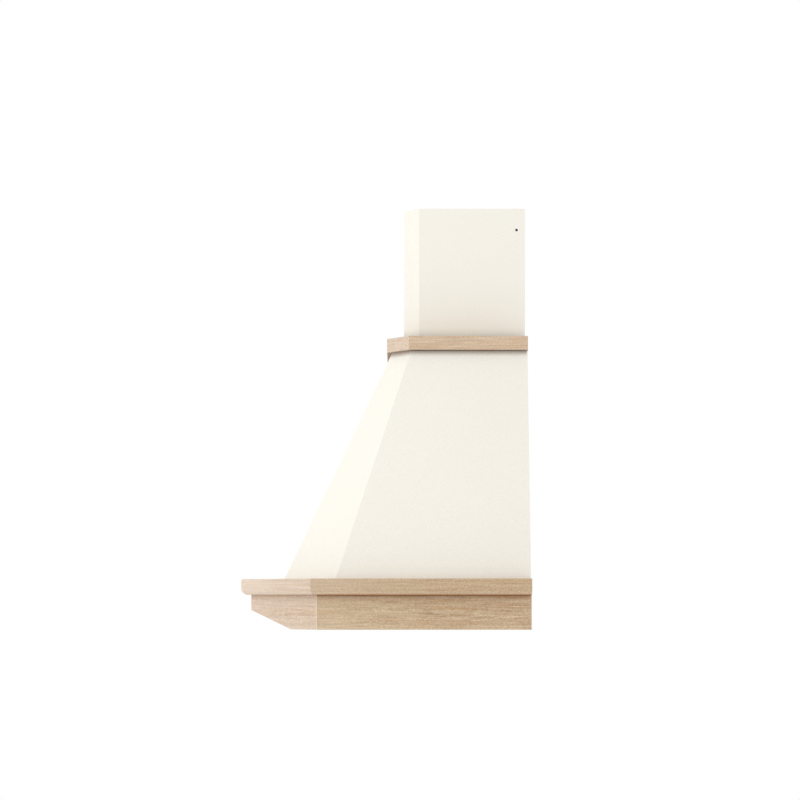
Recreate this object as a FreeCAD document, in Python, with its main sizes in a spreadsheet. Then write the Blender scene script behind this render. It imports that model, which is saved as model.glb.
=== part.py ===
import FreeCAD, Part
import math
import os
import re
import Sketcher

# A wall-hung range hood cover: a painted, tapered canopy and chimney with 45 degree front corners,
# trimmed with mitred oak, and the extractor insert that hangs inside it.
# +X is the hood's right, -Y its front, +Z up.  The wall is the plane Y = 0.  Heights below are counted
# from the apron's lower edge; each body's Placement then moves it so that the origin lies on the wall,
# midway between the hanging rail's two holes.

# ---------------------------------------------------------------- driving dimensions, in millimetres
SIZES = {
    # oak ledge, the widest ring
    "hood_width": 600,
    "hood_depth": 500,
    "ledge_cut": 127,               # length that a corner piece takes off the side and off the front
    "ledge_height": 27.5,
    "ledge_top_round": 4,
    "ledge_foot_round": 12,
    "ledge_lip": 10,                # how far the ring runs inside the canopy's panels
    # oak apron under the ledge
    "apron_setback": 17,
    "apron_cut": 120,
    "apron_height": 59,
    "apron_board": 20,
    "apron_front_height": 26.6,
    "apron_slope_length": 104,      # along the corner board, from the front mitre to the low edge
    "oak_arris": 1,
    # painted canopy
    "canopy_side_reveal": 30,       # ledge seen beside, before and around the canopy's foot
    "canopy_front_reveal": 76,
    "canopy_foot_cut": 92.4,
    "canopy_height": 398,
    "canopy_board": 15,
    "canopy_side_shoulder": 64,     # canopy's top edge, out from the chimney
    "canopy_front_shoulder": 21,
    "canopy_top_cut": 33,
    # oak band between canopy and chimney
    "band_overhang": 9,
    "band_cut": 38,
    "band_height": 24.5,
    "band_width": 30,
    # painted chimney
    "chimney_width": 242,
    "chimney_depth": 215,
    "chimney_cut": 26.4,
    "chimney_height": 236.5,
    "chimney_board": 10,
    # boards, rails and strips inside
    "top_board_height": 12,
    "base_board_height": 15,
    "rail_board": 18,
    "hanging_rail_height": 60,
    "lower_rail_height": 55,
    "rail_hole_radius": 4,
    "hanging_hole_spacing": 240,
    "lower_hole_spacing": 380,
    "fold_strip_leg": 14,
    # chimney bracket and its screws
    "bracket_sheet": 2,
    "bracket_height": 30,
    "bracket_tab": 28,
    "bracket_hole_radius": 2.5,
    "bracket_hole_spacing": 160,
    "chimney_screw_drop": 38,       # from the chimney's top edge
    "chimney_screw_from_wall": 15,
    "chimney_screw_radius": 2.3,    # the head's
    "chimney_shank_radius": 1.75,
    "chimney_head_height": 2,
    "chimney_recess": 2.5,
    "chimney_screw_end": 3,         # shank past the bracket
    "chimney_hole_gap": 0.1,
    # wood screws under the boards
    "screw_head_radius": 3.5,
    "screw_head_height": 2.2,
    "screw_shank_radius": 1.8,
    "board_screw_length": 30,
    "insert_screw_length": 14,
    "insert_screw_inset": 87,       # from the case's side
    # sheet steel extractor insert
    "sheet": 1.2,
    "insert_gap": 7,                # insert case to the ledge's inner edge
    "insert_case_depth": 285,
    "insert_case_height": 60,       # above the base board's underside
    "insert_from_wall": 30,
    "insert_flange": 14,            # fascia in front of and behind the case
    "insert_side_flange": 8,
    "cutout_gap": 2,
    "case_shelf": 15,               # case's top left under the blower box's walls
    "blower_from_case": 2,
    "blower_box_width": 260,
    "blower_box_depth": 225,
    "blower_box_height": 226,
    "duct_from_wall": 107,
    # grease filter
    "filter_depth": 191,
    "filter_side_margin": 50,       # fascia beside the filter opening
    "filter_rear_margin": 15,
    "filter_gap": 2,
    "filter_height": 8,
    "filter_rim": 12,
    "filter_front_rim": 24,
    "mesh_recess": 1.5,             # filter frame's faces to the mesh pack
    "filter_pin_radius": 2,
    "pin_clearance": 0.08,
    "lug_gap": 0.5,                 # filter bay to the lugs that hold the pins
    "lug_rise": 9,
    "pin_past_lug": 0.6,
    "latch_width": 39,
    "latch_height": 4.3,
    "latch_recess": 0.4,
    "latch_travel": 6,
    "grip_side_margin": 6,
    "grip_end_margin": 3,
    "grip_depth": 2.5,
    "seat_clearance": 0.3,
    # controls and lamps on the fascia's front strip
    "panel_width": 130,
    "panel_depth": 34,
    "panel_height": 2.5,
    "switch_body_margin": 6,
    "switch_body_height": 12,
    "button_width": 18,
    "button_depth": 14,
    "button_pitch": 27,
    "button_proud": 2.5,
    "button_flange": 1,             # hidden rim around the cap
    "button_flange_height": 2,
    "button_travel": 2,
    "lamp_inset": 73,               # lamp's middle to the case's side
    "lamp_width": 116,
    "lamp_depth": 44,
    "lamp_rim": 6,
    "lamp_rim_height": 4,
    "lamp_lens_height": 3,
    "lamp_body_height": 20,
    # fan
    "fan_radius": 64,
    "fan_width": 112,
    "fan_ring_height": 2,
    "fan_blade_length": 13,
    "fan_blade_inset": 1,
    "fan_hub_radius": 11,
    "fan_hub_length": 18,
    "fan_disc": 1.5,
    "motor_radius": 42,
    "motor_length": 48,
    "motor_end_wall": 3,
    "motor_arm_width": 14,
    "motor_arm_length": 62,
    "shaft_radius": 4,
    "shaft_way": 2,                 # gap round the shaft where it leaves the scroll
    "scroll_width": 126,
    "scroll_gap": 6,                # fan to the scroll's tongue
    "scroll_growth": 9,             # how much wider each arc of the scroll is than the one before
    "scroll_rise": 10,              # scroll's foot above the case
    "inlet_radius": 56,
    # duct collar and its flaps
    "collar_radius": 74.8,
    "collar_height": 55,
    "collar_flange": 8,
    "duct_hole_radius": 85,
    "flap_height": 20,              # flap pin above the blower box
    "flap_sheet": 1,
    "flap_pin_radius": 1.5,
    "flap_barrel_radius": 2.6,
    "flap_barrel_length": 55,
    "flap_bore_gap": 0.05,
    "flap_edge_gap": 1,
    "flap_barrel_gap": 0.6,
}
FAN_BLADES = 24
MOTOR_ARMS = 3
SCREW_SIDES = 8
HEAD_SIDES = 16                     # of a screw head that shows and the holes as small as that
BUTTONS = ["light_button", "low_speed_button", "middle_speed_button", "high_speed_button"]
SIDES = {"right": 1, "left": -1}

doc = FreeCAD.newDocument("RangeHoodCover")
table = doc.addObject("Spreadsheet::Sheet", "Sizes")
for row, (alias, number) in enumerate(SIZES.items(), start=1):
    table.set(f"A{row}", alias)
    table.set(f"B{row}", str(number))
    table.setAlias(f"B{row}", alias)
doc.recompute()
ALIAS = re.compile(r"\b(" + "|".join(SIZES) + r")\b")


# ---------------------------------------------------------------- formulas
def tied(formula):
    """The formula as the document writes it, with every size read from the spreadsheet."""
    return ALIAS.sub(r"Sizes.\1", str(formula))


def value(formula):
    return float(table.evalExpression(tied(formula)))


# Heights of the horizontal joints, upwards from the apron's lower edge.
LEDGE = "apron_height"
CANOPY = f"({LEDGE} + ledge_height)"
BAND = f"({CANOPY} + canopy_height)"
CHIMNEY = f"({BAND} + band_height)"
TOP = f"({CHIMNEY} + chimney_height)"
BASE = "(apron_height - base_board_height)"
FASCIA = f"({BASE} - sheet)"
CASE_TOP = f"({BASE} + insert_case_height)"
BLOWER_TOP = f"({CASE_TOP} + blower_box_height)"
FLAP_PIN = f"({BLOWER_TOP} + flap_height)"
HANGING_HOLES = f"({BAND} - top_board_height - hanging_rail_height / 2)"


# ---------------------------------------------------------------- plan outlines
# A plan outline is (half width, depth, corner cut): straight sides off the wall, 45 degree corners
# and a straight front.  Its six corners run from the wall on the right to the wall on the left.
def corners(outline):
    width, depth, cut = outline
    fold = f"({cut} - {depth})"
    front = f"({width} - {cut})"
    return [
        (width, "0"),
        (width, fold),
        (front, f"-{depth}"),
        (f"-{front}", f"-{depth}"),
        (f"-{width}", fold),
        (f"-{width}", "0"),
    ]


def inset(outline, side, corner, front):
    """The outline moved inwards, its sides, corners and front each by their own distance."""
    width, depth, cut = outline
    return (
        f"({width} - {side})",
        f"({depth} - {front})",
        f"({cut} - {side} - {front} + {corner} * sqrt(2))",
    )


def even_inset(outline, distance):
    return inset(outline, distance, distance, distance)


def corner_reach(outline):
    """Where the 45 degree face meets the line x = -y, measured square to that face."""
    width, depth, cut = outline
    return f"(({width} + {depth} - {cut}) / sqrt(2))"


LEDGE_OUTLINE = ("(hood_width / 2)", "hood_depth", "ledge_cut")
APRON_OUTLINE = ("(hood_width / 2 - apron_setback)", "(hood_depth - apron_setback)", "apron_cut")
APRON_INSIDE = even_inset(APRON_OUTLINE, "apron_board")
CANOPY_FOOT = (
    "(hood_width / 2 - canopy_side_reveal)",
    "(hood_depth - canopy_front_reveal)",
    "canopy_foot_cut",
)
CHIMNEY_OUTLINE = ("(chimney_width / 2)", "chimney_depth", "chimney_cut")
CANOPY_HEAD = (
    "(chimney_width / 2 + canopy_side_shoulder)",
    "(chimney_depth + canopy_front_shoulder)",
    "canopy_top_cut",
)
BAND_OUTLINE = (
    f"({CANOPY_HEAD[0]} + band_overhang)",
    f"({CANOPY_HEAD[1]} + band_overhang)",
    "band_cut",
)


def canopy_outline(level):
    """The canopy's outer outline at a level above its foot."""
    share = f"(({level}) / canopy_height)"
    return tuple(f"({foot} - ({foot} - {head}) * {share})" for foot, head in zip(CANOPY_FOOT, CANOPY_HEAD))


def sloped(thickness, run):
    """The level thickness of a board that leans over by run in the canopy's height."""
    return f"({thickness} * sqrt(1 + pow({run} / canopy_height; 2)))"


CANOPY_WALLS = (
    sloped("canopy_board", f"({CANOPY_FOOT[0]} - {CANOPY_HEAD[0]})"),
    sloped("canopy_board", f"({corner_reach(CANOPY_FOOT)} - {corner_reach(CANOPY_HEAD)})"),
    sloped("canopy_board", f"({CANOPY_FOOT[1]} - {CANOPY_HEAD[1]})"),
)


def canopy_inside(level):
    return inset(canopy_outline(level), *CANOPY_WALLS)


# ---------------------------------------------------------------- bodies, sketches and features
def new_body(label):
    body = doc.addObject("PartDesign::Body", label)
    body.Label = label
    body.setExpression("Placement.Base.z", tied(f"-{HANGING_HOLES}"))
    return body


def new_sketch(body, name, plane, level):
    """A sketch on one of the body's own origin planes, moved along the plane's normal."""
    sketch = body.newObject("Sketcher::SketchObject", name)
    origin_plane = next(f for f in body.Origin.OriginFeatures if f.Role == plane)
    sketch.AttachmentSupport = (origin_plane, [""])
    sketch.MapMode = "FlatFace"
    sketch.setExpression("AttachmentOffset.Base.z", tied(level))
    return sketch


def tie_point(sketch, geometry, position, point):
    """Ties one point of the sketch to formulas for its two coordinates."""
    for kind, formula in zip(("DistanceX", "DistanceY"), point):
        constraint = Sketcher.Constraint(kind, -1, 1, geometry, position, value(formula))
        number = sketch.addConstraint(constraint)
        sketch.setExpression(f"Constraints[{number}]", tied(formula))


def add_polygon(sketch, points):
    vectors = [FreeCAD.Vector(value(x), value(y), 0) for x, y in points]
    first = sketch.GeometryCount
    count = len(points)
    for i in range(count):
        sketch.addGeometry(Part.LineSegment(vectors[i], vectors[(i + 1) % count]), False)
    for i in range(count):
        following = first + (i + 1) % count
        sketch.addConstraint(Sketcher.Constraint("Coincident", first + i, 2, following, 1))
    for i, point in enumerate(points):
        tie_point(sketch, first + i, 1, point)


def add_circle(sketch, point, radius):
    centre = FreeCAD.Vector(value(point[0]), value(point[1]), 0)
    circle = Part.Circle(centre, FreeCAD.Vector(0, 0, 1), value(radius))
    index = sketch.addGeometry(circle, False)
    number = sketch.addConstraint(Sketcher.Constraint("Radius", index, value(radius)))
    sketch.setExpression(f"Constraints[{number}]", tied(radius))
    tie_point(sketch, index, 3, point)


def rectangle(low_x, high_x, low_y, high_y):
    return [(low_x, low_y), (high_x, low_y), (high_x, high_y), (low_x, high_y)]


def polygon_sketch(body, name, plane, level, *outlines):
    sketch = new_sketch(body, name, plane, level)
    for points in outlines:
        add_polygon(sketch, points)
    return sketch


def small_section(point, radius, sides=SCREW_SIDES):
    """A round section drawn with few sides, as it is too small or too hidden to show them."""
    points = []
    for corner in range(sides):
        angle = corner * 360 / sides
        points.append((f"({point[0]} + {radius} * cos({angle}))", f"({point[1]} + {radius} * sin({angle}))"))
    return points


def circle_sketch(body, name, plane, level, points, radius):
    sketch = new_sketch(body, name, plane, level)
    for point in points:
        add_circle(sketch, point, radius)
    return sketch


def pad(body, name, sketch, length, both_ways=False):
    feature = body.newObject("PartDesign::Pad", name)
    feature.Profile = sketch
    feature.setExpression("Length", tied(length))
    feature.Midplane = both_ways
    return feature


def cut(body, name, sketch, length=None, along_normal=False):
    """A pocket of a set depth, or one right through when no length is given; it must remove material."""
    doc.recompute()
    before = body.Shape.Volume
    pocket = body.newObject("PartDesign::Pocket", name)
    pocket.Profile = sketch
    if length is None:
        pocket.Type = "ThroughAll"
        pocket.Midplane = True
    else:
        pocket.setExpression("Length", tied(length))
        pocket.Reversed = along_normal
    doc.recompute()
    if not body.Shape.Volume < before - 0.1:
        raise RuntimeError(f"{body.Label}: {name} removes nothing")
    return pocket


def edge_at(feature, point):
    """The name of the feature's edge whose centre is nearest to a point."""
    target = FreeCAD.Vector(*point)
    edges = feature.Shape.Edges
    nearest = min(range(len(edges)), key=lambda i: edges[i].CenterOfMass.distanceToPoint(target))
    return f"Edge{nearest + 1}"


def round_edges(body, name, points, radius):
    doc.recompute()
    base = body.Tip
    fillet = body.newObject("PartDesign::Fillet", name)
    fillet.Base = (base, [edge_at(base, point) for point in points])
    fillet.setExpression("Radius", tied(radius))
    return fillet


def level_points(outline, level):
    """The outline's points at a height, as vectors."""
    height = value(level)
    return [FreeCAD.Vector(value(x), value(y), height) for x, y in outline]


def flat_faced(low, high):
    """The solid between two rings of points at different heights, each of whose faces is a plane.  A loft
    would make the leaning faces of a board ruled splines."""
    rings = [(low, high), (low[1:] + low[:1], high[1:] + high[:1])]
    outlines = [low, high]
    for start_low, start_high, end_low, end_high in zip(*rings[0], *rings[1]):
        outlines.append([start_low, end_low, end_high, start_high])
    faces = [Part.Face(Part.makePolygon(points + points[:1])) for points in outlines]
    return Part.Solid(Part.Shell(faces))


def solid_node(label, shape):
    """A piece made directly from a shape, in the same place as the bodies."""
    node = doc.addObject("Part::Feature", label)
    node.Label = label
    node.Shape = shape
    node.setExpression("Placement.Base.z", tied(f"-{HANGING_HOLES}"))
    return node


# ---------------------------------------------------------------- mitred rings
# Each ring is five pieces, counted round the outline's six corners.
RING = ["right_side", "right_corner", "front", "left_corner", "left_side"]


def by_piece(piece, side, corner, front):
    if piece == "front":
        return front
    return corner if piece.endswith("corner") else side


def mitred_plan(outline, piece, width):
    """The plan of one ring piece: outer edge, and inner edge cut back to the mitres that halve each fold."""
    start = RING.index(piece)
    outer = corners(outline)
    inner = corners(even_inset(outline, width))
    return [outer[start], outer[start + 1], inner[start + 1], inner[start]]


def plan_middle(points):
    """Middle of the outer edge, as numbers."""
    return (
        (value(points[0][0]) + value(points[1][0])) / 2,
        (value(points[0][1]) + value(points[1][1])) / 2,
    )


def flat_ring(name, outline, widths, foot, height, foot_round, top_round):
    """A ring of level boards with their outer edges rounded along the foot and the top."""
    for piece in RING:
        body = new_body(f"{name}_{piece}")
        plan = mitred_plan(outline, piece, by_piece(piece, *widths))
        pad(body, "Board", polygon_sketch(body, "Plan", "XY_Plane", foot, plan), height)
        middle = plan_middle(plan)
        round_edges(body, "TopRound", [(*middle, value(f"{foot} + {height}"))], top_round)
        round_edges(body, "FootRound", [(*middle, value(foot))], foot_round)


def build_ledge():
    corner_width = (
        f"({corner_reach(LEDGE_OUTLINE)} - {corner_reach(CANOPY_FOOT)} + {CANOPY_WALLS[1]} + ledge_lip)"
    )
    widths = (
        f"(canopy_side_reveal + {CANOPY_WALLS[0]} + ledge_lip)",
        corner_width,
        f"(canopy_front_reveal + {CANOPY_WALLS[2]} + ledge_lip)",
    )
    flat_ring("ledge", LEDGE_OUTLINE, widths, LEDGE, "ledge_height", "ledge_foot_round", "ledge_top_round")


def build_band():
    widths = ("band_width",) * 3
    flat_ring("band", BAND_OUTLINE, widths, BAND, "band_height", "oak_arris", "oak_arris")
    body = new_body("shoulder_board")
    plan = corners(even_inset(BAND_OUTLINE, "band_width"))
    pad(body, "Board", polygon_sketch(body, "Plan", "XY_Plane", BAND, plan), "band_height")
    cut_duct_hole(body, BAND)


def cut_duct_hole(body, level):
    hole = circle_sketch(body, "DuctPlace", "XY_Plane", level, [("0", "-duct_from_wall")], "duct_hole_radius")
    cut(body, "DuctHole", hole)


def build_canopy_panels():
    """Five leaning boards, mitred at the folds, each between its plans at the foot and at the head."""
    ends = []
    for level, height in (("0", CANOPY), ("canopy_height", BAND)):
        outer = corners(canopy_outline(level))
        inner = corners(canopy_inside(level))
        ends.append((level_points(outer, height), level_points(inner, height)))
    for start, piece in enumerate(RING):
        low, high = [
            [outer[start], outer[start + 1], inner[start + 1], inner[start]] for outer, inner in ends
        ]
        solid_node(f"canopy_{piece}_panel", flat_faced(low, high))


SCREW_HEIGHT = f"({TOP} - chimney_screw_drop)"
CHIMNEY_SCREW = ("(-chimney_screw_from_wall)", SCREW_HEIGHT)


def build_chimney_panels():
    for piece in RING:
        body = new_body(f"chimney_{piece}_panel")
        plan = mitred_plan(CHIMNEY_OUTLINE, piece, "chimney_board")
        pad(body, "Board", polygon_sketch(body, "Plan", "XY_Plane", CHIMNEY, plan), "chimney_height")
        if piece.endswith("side"):
            hand = SIDES[piece.split("_")[0]]
            shank = small_section(CHIMNEY_SCREW, "(chimney_shank_radius + chimney_hole_gap)")
            cut(body, "ShankHole", polygon_sketch(body, "ShankPlace", "YZ_Plane", "0", shank))
            face = f"({hand} * chimney_width / 2)"
            head = small_section(CHIMNEY_SCREW, "(chimney_screw_radius + chimney_hole_gap)", HEAD_SIDES)
            place = polygon_sketch(body, "HeadPlace", "YZ_Plane", face, head)
            cut(body, "HeadRecess", place, "chimney_recess", along_normal=hand < 0)


def build_apron():
    """Upright boards below the ledge.  The side boards are full height and the front one is shallow, so
    the corner boards' lower edge climbs a straight slope towards the front."""
    for piece in RING:
        body = new_body(f"apron_{piece}")
        plan = mitred_plan(APRON_OUTLINE, piece, "apron_board")
        height = "apron_front_height" if piece == "front" else "apron_height"
        foot = f"({LEDGE} - {height})"
        pad(body, "Board", polygon_sketch(body, "Plan", "XY_Plane", foot, plan), height)
        if piece.endswith("corner"):
            cut_slope(body, 1 if piece.startswith("right") else -1)
        else:
            round_edges(body, "Arris", [(*plan_middle(plan), value(foot))], "oak_arris")


def cut_slope(body, hand):
    """Takes the front end's lower edge off a corner board, square to the board's face.  The board stands
    at 45 degrees, so the cut is drawn on an upright plane turned to face it."""
    sketch = new_sketch(body, "Slope", "XZ_Plane", "0")
    turned = FreeCAD.Rotation(FreeCAD.Vector(0, 1, 0), 45 * hand)
    sketch.AttachmentOffset = FreeCAD.Placement(FreeCAD.Vector(0, 0, 0), turned)
    past = "apron_board"
    start = f"({hand} * ({APRON_OUTLINE[0]} - apron_cut - {APRON_OUTLINE[1]}) / sqrt(2))"
    step = f"({LEDGE} - apron_front_height)"
    low_end = f"({start} + {hand} * apron_slope_length)"
    high_end = f"({start} - {hand} * {past})"
    add_polygon(sketch, [
        (low_end, "0"),
        (high_end, f"({step} * (1 + {past} / apron_slope_length))"),
        (high_end, "-1"),
        (low_end, "-1"),
    ])
    cut(body, "SlopeCut", sketch)


# ---------------------------------------------------------------- boards, rails and strips
LEDGE_SIDE_INSIDE = f"(hood_width / 2 - canopy_side_reveal - {CANOPY_WALLS[0]} - ledge_lip)"
LEDGE_FRONT_INSIDE = f"(hood_depth - canopy_front_reveal - {CANOPY_WALLS[2]} - ledge_lip)"
CASE_HALF = f"({LEDGE_SIDE_INSIDE} - insert_gap)"
CASE_REAR = "(-insert_from_wall)"
CASE_FRONT = "(-insert_from_wall - insert_case_depth)"


def rail(label, low, high, holes):
    """A board flat on the wall between the side panels, with ends cut to their lean and two wall holes."""
    body = new_body(label)
    low_half = canopy_inside(f"{low} - {CANOPY}")[0]
    high_half = canopy_inside(f"{high} - {CANOPY}")[0]
    outline = [
        (f"-{low_half}", low),
        (low_half, low),
        (high_half, high),
        (f"-{high_half}", high),
    ]
    pad(body, "Board", polygon_sketch(body, "Elevation", "XZ_Plane", "0", outline), "rail_board")
    height = f"(({low} + {high}) / 2)"
    places = [(f"{hand} * {holes} / 2", height) for hand in SIDES.values()]
    cut(body, "WallHoles", circle_sketch(body, "HolePlaces", "XZ_Plane", "0", places, "rail_hole_radius"))


def build_rails():
    low = f"({BAND} - top_board_height - hanging_rail_height)"
    rail("hanging_rail", low, f"({BAND} - top_board_height)", "hanging_hole_spacing")
    rail("lower_rail", CANOPY, f"({CANOPY} + lower_rail_height)", "lower_hole_spacing")


def build_top_board():
    """Plywood let in between the panels' heads, with its edges cut to their lean."""
    low = corners(canopy_inside("canopy_height - top_board_height"))
    high = corners(canopy_inside("canopy_height"))
    foot = f"({BAND} - top_board_height)"
    board = flat_faced(level_points(low, foot), level_points(high, BAND))
    centre = FreeCAD.Vector(0, value("-duct_from_wall"), value(foot))
    hole = Part.makeCylinder(value("duct_hole_radius"), value("top_board_height"), centre)
    solid_node("top_board", board.cut(hole))


SIDE_SCREW_X = f"(({LEDGE_SIDE_INSIDE} + {APRON_INSIDE[0]}) / 2)"
FRONT_SCREW_Y = f"(-({LEDGE_FRONT_INSIDE} + {APRON_INSIDE[1]}) / 2)"
CORNER_SCREW = (f"({APRON_INSIDE[0]} - apron_cut / 2)", f"({FRONT_SCREW_Y} + apron_cut / 3)")


def board_screw_places():
    places = [(f"{x} * {APRON_INSIDE[0]} / 2", FRONT_SCREW_Y) for x in (-1, 0, 1)]
    for hand in SIDES.values():
        places += [(f"{hand} * {SIDE_SCREW_X}", f"-hood_depth * {share}") for share in (0.1, 0.5)]
        places.append((f"{hand} * {CORNER_SCREW[0]}", CORNER_SCREW[1]))
    return places


def insert_screw_places():
    rear = f"({CASE_REAR} + (insert_flange + cutout_gap) / 2)"
    front = f"({CASE_FRONT} - (insert_flange + cutout_gap) / 2)"
    across = f"({CASE_HALF} - insert_screw_inset)"
    return [(f"({hand} * {across})", y) for hand in SIDES.values() for y in (rear, front)]


def build_base_board():
    body = new_body("base_board")
    plan = polygon_sketch(body, "Plan", "XY_Plane", BASE, corners(APRON_INSIDE))
    pad(body, "Board", plan, "base_board_height")
    half = f"({CASE_HALF} + cutout_gap)"
    opening = rectangle(f"-{half}", half, f"({CASE_FRONT} - cutout_gap)", f"({CASE_REAR} + cutout_gap)")
    cut(body, "InsertCutOut", polygon_sketch(body, "Opening", "XY_Plane", BASE, opening))
    places = board_screw_places() + insert_screw_places()
    holes = [small_section(place, "screw_shank_radius") for place in places]
    cut(body, "ScrewHoles", polygon_sketch(body, "Screws", "XY_Plane", BASE, *holes))


def strip_plan(inside, fold, leg):
    """A triangle in the corner between two panels, for the fold on the side or on the front."""
    points = corners(inside)
    x, y = points[1] if fold == "side" else points[2]
    skew = f"({leg} / sqrt(2))"
    if fold == "side":
        return [(x, y), (x, f"{y} + {leg}"), (f"{x} - {skew}", f"{y} - {skew}")]
    return [(x, y), (f"{x} + {skew}", f"{y} + {skew}"), (f"{x} - {leg}", y)]


def build_fold_strips():
    """Glued strips standing in the folds and leaning with the panels, one of each kind on each hand."""
    for fold in ("side", "front"):
        ends = []
        for level in ("0", "(canopy_height - top_board_height)"):
            plan = strip_plan(canopy_inside(level), fold, "fold_strip_leg")
            ends.append(level_points(plan, f"{CANOPY} + {level}"))
        right = flat_faced(*ends)
        left = right.mirror(FreeCAD.Vector(0, 0, 0), FreeCAD.Vector(1, 0, 0))
        solid_node(f"{fold}_fold_strips", Part.makeCompound([right, left]))


# ---------------------------------------------------------------- screws and the chimney's bracket
def prism(points, length):
    return Part.Face(Part.makePolygon(points + points[:1])).extrude(length)


def wood_screws(label, places, level, length):
    """Screws driven upwards, each with its head's seat at the level."""
    up = FreeCAD.Vector(0, 0, 1)
    screws = []
    for place in places:
        head = level_points(small_section(place, "screw_head_radius"), f"{level} - screw_head_height")
        shank = level_points(small_section(place, "screw_shank_radius"), level)
        screws.append(prism(head, up * value("screw_head_height")).fuse(prism(shank, up * value(length))))
    solid_node(label, Part.makeCompound(screws))


def build_screws():
    wood_screws("board_screws", board_screw_places(), BASE, "board_screw_length")
    wood_screws("insert_screws", insert_screw_places(), FASCIA, "insert_screw_length")
    screws = []
    head = small_section(CHIMNEY_SCREW, "chimney_screw_radius", HEAD_SIDES)
    shank = small_section(CHIMNEY_SCREW, "chimney_shank_radius")
    reach = value("chimney_board - chimney_recess + bracket_sheet + chimney_screw_end")
    for hand in SIDES.values():
        outwards = FreeCAD.Vector(hand, 0, 0)
        seat = outwards * value("chimney_width / 2 - chimney_recess")
        parts = []
        for section, length in ((head, value("chimney_head_height")), (shank, -reach)):
            points = [seat + FreeCAD.Vector(0, value(y), value(z)) for y, z in section]
            parts.append(prism(points, outwards * length))
        screws.append(parts[0].fuse(parts[1]))
    solid_node("chimney_screws", Part.makeCompound(screws))


def build_chimney_bracket():
    """A steel strip on the wall with its ends folded forward inside the chimney's sides."""
    body = new_body("chimney_wall_bracket")
    half = "(chimney_width / 2 - chimney_board)"
    low = f"({SCREW_HEIGHT} - bracket_height / 2)"
    plan = [
        (f"-{half}", "0"),
        (f"-{half}", "-bracket_tab"),
        (f"-({half} - bracket_sheet)", "-bracket_tab"),
        (f"-({half} - bracket_sheet)", "-bracket_sheet"),
        (f"({half} - bracket_sheet)", "-bracket_sheet"),
        (f"({half} - bracket_sheet)", "-bracket_tab"),
        (half, "-bracket_tab"),
        (half, "0"),
    ]
    pad(body, "Strip", polygon_sketch(body, "Fold", "XY_Plane", low, plan), "bracket_height")
    walls = [(f"{hand} * bracket_hole_spacing / 2", SCREW_HEIGHT) for hand in SIDES.values()]
    cut(body, "WallHoles", circle_sketch(body, "WallPlaces", "XZ_Plane", "0", walls, "bracket_hole_radius"))
    hole = small_section(CHIMNEY_SCREW, "chimney_shank_radius")
    cut(body, "ScrewHoles", polygon_sketch(body, "ScrewPlaces", "YZ_Plane", "0", hole))


# ---------------------------------------------------------------- extractor insert
FASCIA_HALF = f"({CASE_HALF} + insert_side_flange)"
FASCIA_REAR = f"({CASE_REAR} + insert_flange)"
FASCIA_FRONT = f"({CASE_FRONT} - insert_flange)"
BAY_HALF = f"({FASCIA_HALF} - filter_side_margin)"
BAY_REAR = f"({CASE_REAR} - filter_rear_margin)"
BAY_FRONT = f"({BAY_REAR} - filter_depth - 2 * filter_gap)"
STRIP_Y = f"(({BAY_FRONT} + {CASE_FRONT}) / 2)"
FILTER_HALF = f"({BAY_HALF} - filter_gap)"
FILTER_REAR = f"({BAY_REAR} - filter_gap)"
FILTER_FRONT = f"({FILTER_REAR} - filter_depth)"
FILTER_TOP = f"({FASCIA} + filter_height)"
FILTER_AXIS = (f"({FILTER_REAR} - filter_height / 2)", f"({FASCIA} + filter_height / 2)")
LUG = f"({BAY_HALF} + lug_gap)"
LATCH_REAR = f"({FILTER_FRONT} + filter_front_rim / 2)"
LATCH_FOOT = f"({FASCIA} + latch_recess)"
BLOWER_REAR = f"({CASE_REAR} - blower_from_case)"
LAMP_X = f"({CASE_HALF} - lamp_inset)"


def build_fascia():
    """The sheet seen from below: filter bay, lamp and switch openings, and two lugs for the filter's pins."""
    body = new_body("insert_fascia")
    plan = rectangle(f"-{FASCIA_HALF}", FASCIA_HALF, FASCIA_FRONT, FASCIA_REAR)
    pad(body, "Plate", polygon_sketch(body, "Plan", "XY_Plane", FASCIA, plan), "sheet")
    openings = [rectangle(f"-{BAY_HALF}", BAY_HALF, BAY_FRONT, BAY_REAR), switch_body_plan("seat_clearance")]
    openings += [lamp_plan(hand, "(seat_clearance - lamp_rim)") for hand in SIDES.values()]
    openings += [small_section(place, "screw_shank_radius") for place in insert_screw_places()]
    cut(body, "Openings", polygon_sketch(body, "OpeningPlan", "XY_Plane", FASCIA, *openings))
    axis_y = FILTER_AXIS[0]
    lug_rear = f"({axis_y} + filter_height / 2)"
    lug = rectangle(f"({axis_y} - filter_height)", lug_rear, BASE, f"({BASE} + lug_rise)")
    for side, hand in SIDES.items():
        name = f"{side.title()}Lug"
        level = LUG if hand > 0 else f"(-{LUG} - sheet)"
        pad(body, name, polygon_sketch(body, f"{name}Face", "YZ_Plane", level, lug), "sheet")
    pins = "filter_pin_radius + pin_clearance"
    cut(body, "PinHoles", circle_sketch(body, "PinPlaces", "YZ_Plane", "0", [FILTER_AXIS], pins))


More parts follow.
